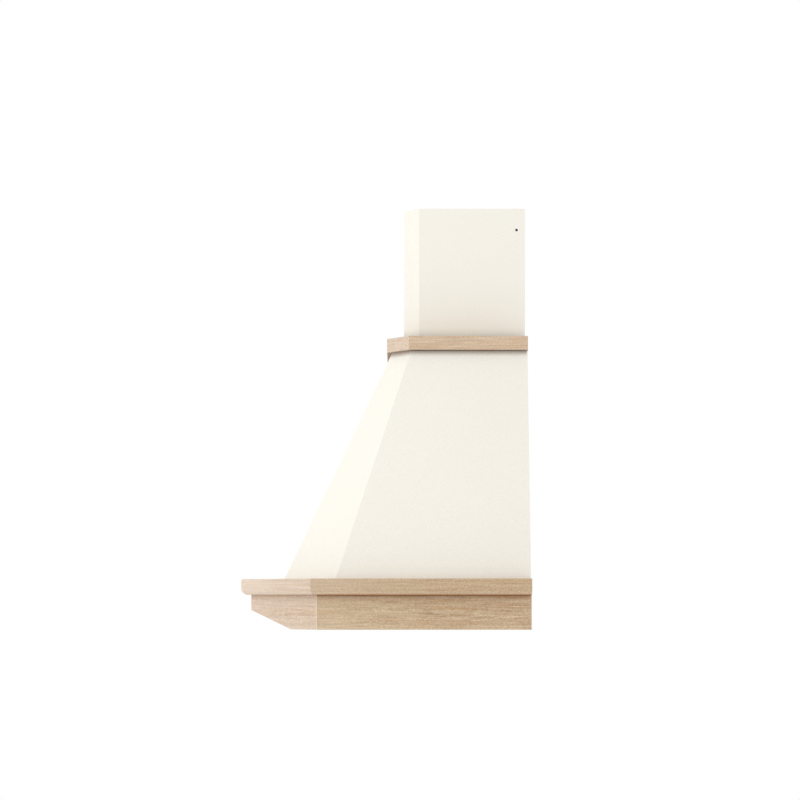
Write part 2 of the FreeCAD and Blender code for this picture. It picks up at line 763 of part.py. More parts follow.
def build_insert_case():
    """A shallow folded case around the filter and the front strip, with the blower's opening in its top."""
    body = new_body("insert_case")
    plan = rectangle(f"-{CASE_HALF}", CASE_HALF, CASE_FRONT, CASE_REAR)
    pad(body, "Block", polygon_sketch(body, "Plan", "XY_Plane", BASE, plan), "insert_case_height")
    half = f"({CASE_HALF} - sheet)"
    hollow = rectangle(f"-{half}", half, f"({CASE_FRONT} + sheet)", f"({CASE_REAR} - sheet)")
    inside = polygon_sketch(body, "Inside", "XY_Plane", BASE, hollow)
    cut(body, "Hollow", inside, "insert_case_height - sheet", along_normal=True)
    half = "(blower_box_width / 2 - case_shelf)"
    front = f"({BLOWER_REAR} - blower_box_depth + case_shelf)"
    opening = rectangle(f"-{half}", half, front, f"({BLOWER_REAR} - case_shelf)")
    way = polygon_sketch(body, "BlowerOpening", "XY_Plane", CASE_TOP, opening)
    cut(body, "BlowerWay", way, "sheet * 2")


def build_blower_box():
    body = new_body("blower_box")
    half = "(blower_box_width / 2)"
    front = f"({BLOWER_REAR} - blower_box_depth)"
    plan = rectangle(f"-{half}", half, front, BLOWER_REAR)
    pad(body, "Block", polygon_sketch(body, "Plan", "XY_Plane", CASE_TOP, plan), "blower_box_height")
    half = "(blower_box_width / 2 - sheet)"
    hollow = rectangle(f"-{half}", half, f"({front} + sheet)", f"({BLOWER_REAR} - sheet)")
    inside = polygon_sketch(body, "Inside", "XY_Plane", CASE_TOP, hollow)
    cut(body, "Hollow", inside, "blower_box_height - sheet", along_normal=True)
    at = [("0", "-duct_from_wall")]
    hole = circle_sketch(body, "Outlet", "XY_Plane", BLOWER_TOP, at, "collar_radius - sheet")
    cut(body, "OutletHole", hole, "sheet * 2")


# ---------------------------------------------------------------- grease filter
def build_filter():
    """A cassette whose rear pins turn in the fascia's lugs; its front rim holds the sliding latch."""
    body = new_body("filter_frame")
    plan = rectangle(f"-{FILTER_HALF}", FILTER_HALF, FILTER_FRONT, FILTER_REAR)
    half = f"({FILTER_HALF} - filter_rim)"
    window_front = f"({FILTER_FRONT} + filter_front_rim)"
    window = rectangle(f"-{half}", half, window_front, f"({FILTER_REAR} - filter_rim)")
    pad(body, "Frame", polygon_sketch(body, "Plan", "XY_Plane", FASCIA, plan, window), "filter_height")
    reach = f"({LUG} + sheet + pin_past_lug - {FILTER_HALF})"
    for side, hand in SIDES.items():
        name = f"{side.title()}Pin"
        level = FILTER_HALF if hand > 0 else f"(-{FILTER_HALF} - {reach})"
        place = circle_sketch(body, f"{name}Place", "YZ_Plane", level, [FILTER_AXIS], "filter_pin_radius")
        pad(body, name, place, reach)
    half = "(latch_width / 2 + seat_clearance)"
    slot_rear = f"({LATCH_REAR} + latch_travel + seat_clearance)"
    slot = rectangle(f"-{half}", half, FILTER_FRONT, slot_rear)
    way = polygon_sketch(body, "LatchSlot", "XY_Plane", FASCIA, slot)
    cut(body, "LatchWay", way, "latch_recess + latch_height + seat_clearance", along_normal=True)

    body = new_body("filter_mesh")
    half = f"({FILTER_HALF} - filter_rim)"
    plan = rectangle(f"-{half}", half, window_front, f"({FILTER_REAR} - filter_rim)")
    foot = f"({FASCIA} + mesh_recess)"
    pad(body, "Pack", polygon_sketch(body, "Plan", "XY_Plane", foot, plan), "filter_height - 2 * mesh_recess")


def build_latch():
    """A finger slide in the filter's front rim; its tongue ends just short of the bay's edge."""
    body = new_body("filter_latch")
    half = "(latch_width / 2)"
    front = f"({BAY_FRONT} + seat_clearance)"
    plan = rectangle(f"-{half}", half, front, LATCH_REAR)
    pad(body, "Slide", polygon_sketch(body, "Plan", "XY_Plane", LATCH_FOOT, plan), "latch_height")
    half = "(latch_width / 2 - grip_side_margin)"
    ends = (f"({FILTER_FRONT} + grip_end_margin)", f"({LATCH_REAR} - grip_end_margin)")
    grip = rectangle(f"-{half}", half, *ends)
    hollow = polygon_sketch(body, "Grip", "XY_Plane", LATCH_FOOT, grip)
    cut(body, "FingerGrip", hollow, "grip_depth", along_normal=True)


# ---------------------------------------------------------------- switches and lamps
PANEL_FOOT = f"({FASCIA} - panel_height)"


def around(centre_x, half_width, half_depth, grow):
    """A rectangle on the front strip, grown all round."""
    low_x = f"({centre_x} - ({half_width} + {grow}))"
    high_x = f"({centre_x} + ({half_width} + {grow}))"
    deep = f"({half_depth} + {grow})"
    return rectangle(low_x, high_x, f"({STRIP_Y} - {deep})", f"({STRIP_Y} + {deep})")


def switch_body_plan(grow):
    half = "panel_width / 2 - switch_body_margin"
    return around("0", half, "panel_depth / 2 - switch_body_margin / 2", grow)


def lamp_plan(hand, grow):
    return around(f"{hand} * {LAMP_X}", "lamp_width / 2", "lamp_depth / 2", grow)


def button_plan(index, grow):
    centre = f"({index - (len(BUTTONS) - 1) / 2} * button_pitch)"
    return around(centre, "button_width / 2", "button_depth / 2", grow)


def build_controls():
    """A bezel below the fascia with the switch body above it, and the wells that the buttons move in."""
    body = new_body("control_panel")
    bezel = around("0", "panel_width / 2", "panel_depth / 2", "0")
    pad(body, "Bezel", polygon_sketch(body, "Plan", "XY_Plane", PANEL_FOOT, bezel), "panel_height")
    block = polygon_sketch(body, "BlockPlan", "XY_Plane", FASCIA, switch_body_plan("0"))
    pad(body, "SwitchBody", block, "switch_body_height")
    places = range(len(BUTTONS))
    wells = [button_plan(place, "(button_flange + seat_clearance)") for place in places]
    depth = "button_flange_height + button_travel + 2 * seat_clearance"
    cut(body, "Wells", polygon_sketch(body, "WellPlan", "XY_Plane", FASCIA, *wells), depth, along_normal=True)
    holes = polygon_sketch(
        body, "HolePlan", "XY_Plane", PANEL_FOOT, *[button_plan(place, "seat_clearance") for place in places]
    )
    cut(body, "ButtonHoles", holes, "panel_height * 2", along_normal=True)


def build_buttons():
    """Caps that stand proud of the bezel, each held by a flange behind it."""
    flange_foot = f"({FASCIA} + seat_clearance)"
    cap_foot = f"({PANEL_FOOT} - button_proud)"
    for place, label in enumerate(BUTTONS):
        body = new_body(label)
        cap = polygon_sketch(body, "CapPlan", "XY_Plane", cap_foot, button_plan(place, "0"))
        pad(body, "Cap", cap, f"({flange_foot} + button_flange_height - {cap_foot})")
        wide = button_plan(place, "button_flange")
        flange = polygon_sketch(body, "FlangePlan", "XY_Plane", flange_foot, wide)
        pad(body, "Flange", flange, "button_flange_height")


def build_lamps():
    """Lamps clipped through the fascia, each with a lens let into its rim and a driver above it."""
    foot = f"({FASCIA} - lamp_rim_height)"
    for side, hand in SIDES.items():
        inside = lamp_plan(hand, "(-lamp_rim)")
        body = new_body(f"{side}_lamp")
        rim = polygon_sketch(body, "RimPlan", "XY_Plane", foot, lamp_plan(hand, "0"))
        pad(body, "Rim", rim, "lamp_rim_height")
        driver = polygon_sketch(body, "DriverPlan", "XY_Plane", FASCIA, inside)
        pad(body, "Driver", driver, "lamp_body_height")
        recess = polygon_sketch(body, "RecessPlan", "XY_Plane", foot, inside)
        cut(body, "Recess", recess, "lamp_lens_height + seat_clearance", along_normal=True)
        body = new_body(f"{side}_lamp_lens")
        plate = polygon_sketch(body, "LensPlan", "XY_Plane", f"({foot} + seat_clearance)", inside)
        pad(body, "Lens", plate, "lamp_lens_height")


# ---------------------------------------------------------------- fan
SCROLL_START = "(fan_radius + scroll_gap)"
SCROLL_REACH = f"({SCROLL_START} + 3 * scroll_growth)"
NECK_MIDDLE = f"(({SCROLL_REACH} - scroll_growth / 2) / 2)"
FAN_Y = f"(-duct_from_wall - {NECK_MIDDLE})"
FAN_Z = f"({CASE_TOP} + scroll_rise + {SCROLL_START} + 2 * scroll_growth + sheet)"
DISC = "(fan_width / 2 - fan_disc)"
HUB = f"({DISC} - fan_hub_length)"
SCROLL_SIDE = "(scroll_width / 2 + sheet)"
MOTOR = f"({SCROLL_SIDE} + bracket_sheet)"
# A blade's two faces, each through three points: how far out it is along the blade, and its angle.
BLADE_LEADING = [(0, 0), (0.5, 3), (1, 11)]
BLADE_TRAILING = [(1, 12.6), (0.5, 4.8), (0, 1.6)]


def fan_body(label):
    """A body whose own X axis is the fan's shaft."""
    body = new_body(label)
    body.setExpression("Placement.Base.y", tied(FAN_Y))
    body.setExpression("Placement.Base.z", tied(f"{FAN_Z} - {HANGING_HOLES}"))
    return body


def scroll_face(wall, x, top):
    """The scroll's side outline grown by a wall: three quarter arcs, each with its centre moved by the
    growth so that they run on smoothly, and the straight neck up to the outlet.  The first arc starts
    where the neck's near wall meets it, at the tongue."""
    growth = value("scroll_growth")
    half = growth / 2
    radius = value(SCROLL_START) + half + wall
    first_angle = 90 + math.degrees(math.asin(wall / radius))
    edges = []
    for quarter, (across, up) in enumerate([(-half, -half), (half, -half), (half, half)]):
        last_angle = 180 + 90 * quarter
        ends = []
        for angle in (first_angle, (first_angle + last_angle) / 2, last_angle):
            turn = math.radians(angle)
            ends.append(FreeCAD.Vector(x, across + radius * math.cos(turn), up + radius * math.sin(turn)))
        edges.append(Part.Arc(*ends).toShape())
        first_angle = last_angle
        radius += growth
    tongue = edges[0].Vertexes[0].Point
    foot = edges[-1].Vertexes[-1].Point
    neck = [foot, FreeCAD.Vector(x, foot.y, top), FreeCAD.Vector(x, tongue.y, top), tongue]
    return Part.Face(Part.Wire(edges + Part.makePolygon(neck).Edges))


def build_scroll():
    """A folded housing, open upwards, with the air's inlet on the left and the shaft's hole on the right."""
    wall = value("sheet")
    top = value(f"{BLOWER_TOP} - sheet - {FAN_Z}")
    half = value("scroll_width / 2")
    outer = scroll_face(wall, -half - wall, top).extrude(FreeCAD.Vector(2 * (half + wall), 0, 0))
    inner = scroll_face(0, -half, top + wall).extrude(FreeCAD.Vector(2 * half, 0, 0))
    rightwards = FreeCAD.Vector(1, 0, 0)
    inlet = Part.makeCylinder(value("inlet_radius"), half + wall, -rightwards * (half + wall), rightwards)
    way = Part.makeCylinder(value("shaft_radius + shaft_way"), half + wall, FreeCAD.Vector(), rightwards)
    shape = outer.cut([inner, inlet, way]).removeSplitter()
    node = solid_node("scroll_housing", shape)
    node.setExpression("Placement.Base.y", tied(FAN_Y))
    node.setExpression("Placement.Base.z", tied(f"{FAN_Z} - {HANGING_HOLES}"))


def blade_plan():
    """One forward-curved blade."""
    inner = "(fan_radius - fan_blade_length + fan_blade_inset)"
    length = "(fan_blade_length - 2 * fan_blade_inset)"
    points = []
    for share, angle in BLADE_LEADING + BLADE_TRAILING:
        radius = f"({inner} + {share} * {length})"
        points.append((f"{radius} * cos({angle})", f"{radius} * sin({angle})"))
    return points


def turned_copies(body, feature, count):
    """Repeats a feature round the body's X axis."""
    doc.recompute()
    pattern = body.newObject("PartDesign::PolarPattern", f"{feature.Name}Pattern")
    pattern.Originals = [feature]
    pattern.Axis = (next(f for f in body.Origin.OriginFeatures if f.Role == "X_Axis"), [""])
    pattern.Angle = 360
    pattern.Occurrences = count
    body.Tip = pattern
    doc.recompute()


def build_fan():
    """A wheel with a disc and hub at the motor's end, a ring at the inlet, and curved blades between them."""
    body = fan_body("impeller")
    centre = [("0", "0")]
    disc = circle_sketch(body, "DiscPlan", "YZ_Plane", DISC, centre, "fan_radius")
    pad(body, "Disc", disc, "fan_disc")
    hub = circle_sketch(body, "HubPlan", "YZ_Plane", HUB, centre, "fan_hub_radius")
    pad(body, "Hub", hub, "fan_hub_length")
    blade_sketch = polygon_sketch(body, "BladePlan", "YZ_Plane", "0", blade_plan())
    turned_copies(body, pad(body, "Blade", blade_sketch, "fan_width", both_ways=True), FAN_BLADES)
    ring = circle_sketch(body, "RingPlan", "YZ_Plane", "(-fan_width / 2)", centre, "fan_radius")
    add_circle(ring, centre[0], "fan_radius - fan_blade_length")
    pad(body, "Ring", ring, "fan_ring_height")
    cut(body, "Bore", circle_sketch(body, "BorePlan", "YZ_Plane", "0", centre, "shaft_radius"))

    body = fan_body("impeller_shaft")
    rod = circle_sketch(body, "Section", "YZ_Plane", HUB, centre, "shaft_radius")
    pad(body, "Rod", rod, f"({MOTOR} + motor_length - motor_end_wall - seat_clearance - {HUB})")


def build_motor():
    """The motor outside the scroll's right side, on a three-armed bracket."""
    body = fan_body("fan_motor")
    centre = [("0", "0")]
    can = circle_sketch(body, "CanPlan", "YZ_Plane", MOTOR, centre, "motor_radius")
    pad(body, "Can", can, "motor_length")
    bore = circle_sketch(body, "BorePlan", "YZ_Plane", MOTOR, centre, "shaft_radius + pin_clearance")
    cut(body, "Bore", bore, "motor_length - motor_end_wall", along_normal=True)

    body = fan_body("motor_bracket")
    boss = circle_sketch(body, "BossPlan", "YZ_Plane", SCROLL_SIDE, centre, "motor_radius / 2")
    pad(body, "Boss", boss, "bracket_sheet")
    half = "(motor_arm_width / 2)"
    plan = rectangle("0", "motor_arm_length", f"-{half}", half)
    arm = polygon_sketch(body, "ArmPlan", "YZ_Plane", SCROLL_SIDE, plan)
    turned_copies(body, pad(body, "Arm", arm, "bracket_sheet"), MOTOR_ARMS)
    way = small_section(centre[0], "(shaft_radius + shaft_way)", HEAD_SIDES)
    cut(body, "ShaftWay", polygon_sketch(body, "ShaftPlace", "YZ_Plane", "0", way))


# ---------------------------------------------------------------- duct collar and non-return flaps
def build_collar():
    at = [("0", "-duct_from_wall")]
    body = new_body("outlet_collar")
    flange = circle_sketch(body, "FlangePlan", "XY_Plane", BLOWER_TOP, at, "collar_radius + collar_flange")
    pad(body, "Flange", flange, "sheet")
    tube = circle_sketch(body, "TubePlan", "XY_Plane", BLOWER_TOP, at, "collar_radius")
    pad(body, "Tube", tube, "collar_height")
    bore = circle_sketch(body, "BorePlan", "XY_Plane", BLOWER_TOP, at, "collar_radius - sheet")
    cut(body, "Bore", bore)

    body = new_body("flap_pin")
    pin = [("-duct_from_wall", FLAP_PIN)]
    rod = circle_sketch(body, "Section", "YZ_Plane", "0", pin, "flap_pin_radius")
    pad(body, "Rod", rod, "2 * (collar_radius - sheet - flap_bore_gap)", both_ways=True)


FLAP_RADIUS = "(collar_radius - sheet - flap_edge_gap)"
# Which way each flap lies from the pin that they share, and which end of the pin its barrel turns on.
FLAPS = {"front_flap": (-1, -1), "rear_flap": (1, 1)}


def build_flaps():
    """Two half discs that share a pin across the collar, each hanging on a barrel."""
    centre = [("0", "-duct_from_wall")]
    pin = ("-duct_from_wall", FLAP_PIN)
    for label, (way, end) in FLAPS.items():
        body = new_body(label)
        disc = circle_sketch(body, "DiscPlan", "XY_Plane", FLAP_PIN, centre, FLAP_RADIUS)
        pad(body, "Disc", disc, "flap_sheet", both_ways=True)
        near = f"(-duct_from_wall + {way} * (flap_barrel_radius + flap_barrel_gap))"
        far = f"(-duct_from_wall - {way} * collar_radius)"
        half = rectangle("-collar_radius", "collar_radius", near, far)
        cut(body, "HalfCut", polygon_sketch(body, "OtherHalf", "XY_Plane", FLAP_PIN, half))
        low = "seat_clearance" if end > 0 else "(-seat_clearance - flap_barrel_length)"
        high = f"({low} + flap_barrel_length)"
        plan = rectangle(low, high, f"({near} + {way} * flap_sheet)", "-duct_from_wall")
        web = polygon_sketch(body, "WebPlan", "XY_Plane", FLAP_PIN, plan)
        pad(body, "Web", web, "flap_sheet", both_ways=True)
        barrel = circle_sketch(body, "BarrelPlan", "YZ_Plane", low, [pin], "flap_barrel_radius")
        pad(body, "Barrel", barrel, "flap_barrel_length")
        bore = circle_sketch(body, "BorePlan", "YZ_Plane", "0", [pin], "flap_pin_radius + flap_bore_gap")
        cut(body, "Bore", bore)


# ---------------------------------------------------------------- the whole hood
for build in (
    build_chimney_panels,
    build_chimney_bracket,
    build_band,
    build_top_board,
    build_canopy_panels,
    build_rails,
    build_fold_strips,
    build_ledge,
    build_apron,
    build_base_board,
    build_screws,
    build_fascia,
    build_insert_case,
    build_blower_box,
    build_filter,
    build_latch,
    build_controls,
    build_buttons,
    build_lamps,
    build_scroll,
    build_fan,
    build_motor,
    build_collar,
    build_flaps,
):
    build()
    doc.recompute()

for item in doc.Objects:
    if {"Invalid", "Error"} & set(item.State):
        raise RuntimeError(f"{item.Name} failed: {item.State}")

nodes = [item for item in doc.Objects if item.TypeId == "PartDesign::Body"]
nodes += [item for item in doc.Objects if item.TypeId == "Part::Feature"]
for node in nodes:
    if node.Shape.isNull() or not node.Shape.isValid() or node.Shape.Volume <= 0:
        raise RuntimeError(f"{node.Label} has no valid shape")

os.makedirs("parts", exist_ok=True)
for node in nodes:
    node.Shape.exportStep(f"parts/{node.Label}.step")
print(f"{len(nodes)} sub-parts, {value(TOP)} mm high, origin {value(HANGING_HOLES)} mm above the foot")
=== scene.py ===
# %% [markdown]
# # A range hood cover of painted wood and oak
# The cover hangs on a kitchen wall and hides an extractor. A painted, tapered canopy carries a painted
# chimney, and oak trims both: a ledge with an apron under it at the foot, and a band at the shoulder.
# All the solids come from the CAD frame, already in place, in metres. This lesson gives them their
# finishes, remakes the few that need finer work than a CAD solid holds, and lights the result.

# %% The frame
import math

import bmesh
import bpy
from mathutils import Matrix, Vector


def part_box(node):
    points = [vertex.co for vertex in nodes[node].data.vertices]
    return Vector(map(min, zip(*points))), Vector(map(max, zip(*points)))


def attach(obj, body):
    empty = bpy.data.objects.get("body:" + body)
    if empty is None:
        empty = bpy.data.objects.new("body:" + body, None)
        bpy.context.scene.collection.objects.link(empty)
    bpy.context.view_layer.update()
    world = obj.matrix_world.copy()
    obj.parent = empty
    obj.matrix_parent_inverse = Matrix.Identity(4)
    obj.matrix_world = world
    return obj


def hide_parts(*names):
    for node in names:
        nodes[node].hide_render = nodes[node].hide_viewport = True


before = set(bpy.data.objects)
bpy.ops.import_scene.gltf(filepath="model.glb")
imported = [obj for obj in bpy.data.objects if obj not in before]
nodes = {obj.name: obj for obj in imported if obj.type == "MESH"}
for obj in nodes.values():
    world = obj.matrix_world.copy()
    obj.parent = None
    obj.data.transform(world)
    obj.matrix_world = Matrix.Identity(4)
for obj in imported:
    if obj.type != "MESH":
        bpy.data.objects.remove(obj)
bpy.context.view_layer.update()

MM = 0.001

# %% [markdown]
# ## Short ways to write shader nodes
# Every finish below is a small tree of shader nodes. Writing each node with its settings and its
# inputs on one line keeps a finish readable, so one helper makes a node, fills its sockets and links
# whatever is itself a socket.


# %% Node helpers
NOISE_SPAN = (0.3, 0.7)  # nearly all that a noise gives
# A Mix node has sockets for every type of data, with the same names; colours use these numbers.
MIX_FACTOR, MIX_FIRST, MIX_SECOND, MIX_RESULT = 0, 6, 7, 2


def set_socket(tree, socket, given):
    """Links another node's output to a socket, or sets the socket's value."""
    if isinstance(given, bpy.types.NodeSocket):
        tree.links.new(given, socket)
    else:
        socket.default_value = given


def add_node(tree, kind, inputs=(), **settings):
    """Makes a node. inputs is a list of (socket name or number, value or output socket)."""
    node = tree.nodes.new(kind)
    for name, setting in settings.items():
        setattr(node, name, setting)
    for socket, given in inputs:
        set_socket(tree, node.inputs[socket], given)
    return node


def math_node(tree, operation, *values):
    return add_node(tree, "ShaderNodeMath", list(enumerate(values)), operation=operation).outputs[0]


def scaled(tree, given, factor, added=0.0):
    """given * factor + added."""
    return math_node(tree, "MULTIPLY_ADD", given, factor, added)


def vector_node(tree, operation, *values):
    node = add_node(tree, "ShaderNodeVectorMath", list(enumerate(values)), operation=operation)
    return node.outputs["Value"] if operation in ("LENGTH", "DOT_PRODUCT") else node.outputs[0]


def split_vector(tree, vector):
    return add_node(tree, "ShaderNodeSeparateXYZ", [(0, vector)]).outputs


def join_vector(tree, *values):
    return add_node(tree, "ShaderNodeCombineXYZ", list(enumerate(values))).outputs[0]


def remap(tree, given, low, high, to_low=0.0, to_high=1.0):
    """A value moved from one range to another and kept inside it."""
    sockets = [("Value", given), ("From Min", low), ("From Max", high)]
    sockets += [("To Min", to_low), ("To Max", to_high)]
    return add_node(tree, "ShaderNodeMapRange", sockets).outputs["Result"]


def noise(tree, vector, scale, detail=2.0, roughness=0.5):
    """Noise with a number as its scale, or with a vector or a socket."""
    if not isinstance(scale, (int, float)):
        vector, scale = vector_node(tree, "MULTIPLY", vector, scale), 1.0
    sockets = [("Vector", vector), ("Scale", scale), ("Detail", detail), ("Roughness", roughness)]
    return add_node(tree, "ShaderNodeTexNoise", sockets).outputs["Fac"]


def blend(tree, factor, first, second):
    sockets = [(MIX_FACTOR, factor), (MIX_FIRST, first), (MIX_SECOND, second)]
    return add_node(tree, "ShaderNodeMix", sockets, data_type="RGBA").outputs[MIX_RESULT]


def srgb(red, green, blue):
    """A colour given as it looks on a screen, 0 to 255, as the linear colour that a shader takes."""
    linear = []
    for channel in (red, green, blue):
        share = channel / 255
        linear.append(share / 12.92 if share <= 0.04045 else ((share + 0.055) / 1.055) ** 2.4)
    return (*linear, 1.0)


print("node helpers ready")

# %% [markdown]
# ## Materials and groups
# A material here starts from a Principled shader and the Object coordinates, which are metres in the
# hood's own frame, so that a pattern has its real size. An effect that several finishes share is a
# node group with named sockets, made once and placed wherever it is wanted with other values.

# %% Material helpers
FLOAT, COLOUR, VECTOR = "NodeSocketFloat", "NodeSocketColor", "NodeSocketVector"


def new_finish(name, **settings):
    """An empty material, its tree, and the place of each point as a vector in metres."""
    material = bpy.data.materials.new(name)
    material.use_nodes = True
    tree = material.node_tree
    tree.nodes.clear()
    shader = add_node(tree, "ShaderNodeBsdfPrincipled")
    add_node(tree, "ShaderNodeOutputMaterial", [("Surface", shader.outputs[0])])
    place = add_node(tree, "ShaderNodeTexCoord").outputs["Object"]
    for socket, setting in settings.items():
        shader.inputs[socket.replace("_", " ")].default_value = setting
    return material, tree, place


def new_group(name, **inputs):
    """A node group with inputs of the given kinds; returns its tree and the inputs as seen inside it."""
    tree = bpy.data.node_groups.new(name, "ShaderNodeTree")
    for title, kind in inputs.items():
        tree.interface.new_socket(title, in_out="INPUT", socket_type=kind)
    return tree, tree.nodes.new("NodeGroupInput").outputs


def close_group(tree, **results):
    """Makes an output for each result; returns the group's tree."""
    for title, socket in results.items():
        kind = COLOUR if socket.type == "RGBA" else FLOAT
        tree.interface.new_socket(title, in_out="OUTPUT", socket_type=kind)
    outputs = tree.nodes.new("NodeGroupOutput").inputs
    for title, socket in results.items():
        tree.links.new(socket, outputs[title])
    return tree


def place_group(tree, group, **given):
    """The outputs of a group placed in a tree, with its inputs set or linked."""
    return add_node(tree, "ShaderNodeGroup", list(given.items()), node_tree=group).outputs


def connect(material, colour, roughness, height=None, relief=0.0, strength=0.5):
    """Gives a material's shader its colour, roughness and height as a bump; returns the material."""
    tree = material.node_tree
    sockets = tree.nodes["Principled BSDF"].inputs
    set_socket(tree, sockets["Base Color"], colour)
    set_socket(tree, sockets["Roughness"], roughness)
    if height is not None:
        bump = [("Height", height), ("Distance", relief), ("Strength", strength)]
        tree.links.new(add_node(tree, "ShaderNodeBump", bump).outputs[0], sockets["Normal"])
    return material


def paint_nodes(material, names):
    for name in names:
        nodes[name].material_slots[0].material = material


print("material helpers ready")

# %% [markdown]
# ## Corners and edges
# Two effects belong to every finish. Painted shade darkens the inner corners where boards meet. Outer
# edges take a colour of their own: wear on metal, plastic and screws, a painted highlight on the
# painted boards and the ledge, and on the other oak a brown that is partly painted shade. Both could be
# painted by hand on a map, but the Ambient Occlusion node finds them from the shapes: outwards it sees
# how shut-in a point is, and turned inside out it sees how near the point is to an edge. Each is a group
# that gives a mask.


# %% Corner and edge masks
def make_mask_group(name, inside, full, empty):
    """Full and empty are the shares of open sky at which the mask is 1 and 0."""
    tree, given = new_group(name, Reach=FLOAT)
    settings = {"inside": inside, "only_local": inside, "samples": 12}
    sky = add_node(tree, "ShaderNodeAmbientOcclusion", [("Distance", given["Reach"])], **settings)
    return close_group(tree, Mask=remap(tree, sky.outputs["AO"], full, empty, 1.0, 0.0))


# Painted shade for inner corners, and an edge mask for wear and for painted highlights on edges.
PAINTED_SHADE_MASK = make_mask_group("painted_corner_shade", inside=False, full=0.5, empty=1.0)
EDGE_MASK = make_mask_group("outer_edges", inside=True, full=0.3, empty=0.85)


def masked(tree, group, reach, strength, power=1.0):
    """The group's mask with this reach, drawn in towards the corner by a power, and weakened."""
    mask = place_group(tree, group, Reach=reach)["Mask"]
    if power != 1.0:
        mask = math_node(tree, "POWER", mask, power)
    return scaled(tree, mask, strength)


def wear_and_highlight_edges(tree, colour, rubbed, strength, reach=1 * MM):
    """The colour with another on its edges: wear on metals and plastics, a painted highlight on paint."""
    return blend(tree, masked(tree, EDGE_MASK, reach, strength), colour, rubbed)


print("corner and edge masks ready")

# %% [markdown]
# ## Wood
# Oak trims the hood in three rings of five boards. Its look has several parts: growth rings that the
# saw cut through, fibres along the board, open pores that show as short dark dashes, golden and grey
# streaks, and a knot here and there that the rings flow round. It could be a picture, but then the
# ends and the edges would not match the faces. Instead the wood is worked out in space, as in a real
# log: distance from the log's heart gives the rings. All boards share one node group, and each board
# places it with its own direction, distance from the heart and knot.

# %% The wood's measures
WAVE_SCALE, UNEVEN_SCALE = (5, 26, 26), (2, 50, 50)
RING_SPACING = 7 * MM
RING_BEND = 6 * MM
RING_UNEVEN = 12.0  # radians
FIBRE_BEND = 1.2 * MM
LOG_TAPER = 0.05
KNOT_LENGTH = 60 * MM
KNOT_WIDTH = 11 * MM
KNOT_DEPTH = KNOT_WIDTH / 0.3
KNOT_SWELL = 0.75 * KNOT_WIDTH
EYE_TURNS = 9.0
CORE_POWER = 6.0
# Each layer's scale along, across and through the wood, its detail and roughness, and how much it
# darkens or lightens. They run from wide soft figure to a speckle as fine as the pores.
GRAIN = {
    "figure": ((4, 80, 80), 3.0, 0.6, 0.08),
    "streaks": ((7, 420, 420), 3.0, 0.6, 0.24),
    "fibres": ((20, 600, 600), 1.0, 0.5, 0.36),
    "speckle": ((420, 560, 560), 1.0, 0.5, 0.4),
}
# Pores are short dark dashes and flecks short light ones, the two ends of one noise.
DASH_SCALE = (60, 420, 420)
PORE_RANGE, FLECK_RANGE = (0.6, 0.72), (0.4, 0.28)
DASHES, DASHES_AT_KNOT = 0.4, 3.0
# How much darker, or lighter where negative, each kind of mark makes the wood.
MARKS = {"pores": 0.4, "flecks": -0.36, "knot": 0.2, "eye": 0.5, "core": 0.5}
# Each tint's scale along, across and through the wood, and how far its patches are moved.
TINTS = {"Golden": ((8, 330, 330), 0.0), "Grey": ((9, 380, 380), 3.0)}
TINT_STRENGTH = 0.6
TONE_RANGE = (-0.6, 0.75)
WOOD_ROUGHNESS = (0.42, 0.6)
WOOD_COLOURS = ("Light", "Dark", "Golden", "Grey")
print(f"wood: {len(GRAIN)} layers of grain, {len(MARKS)} kinds of mark, {len(TINTS)} tints")


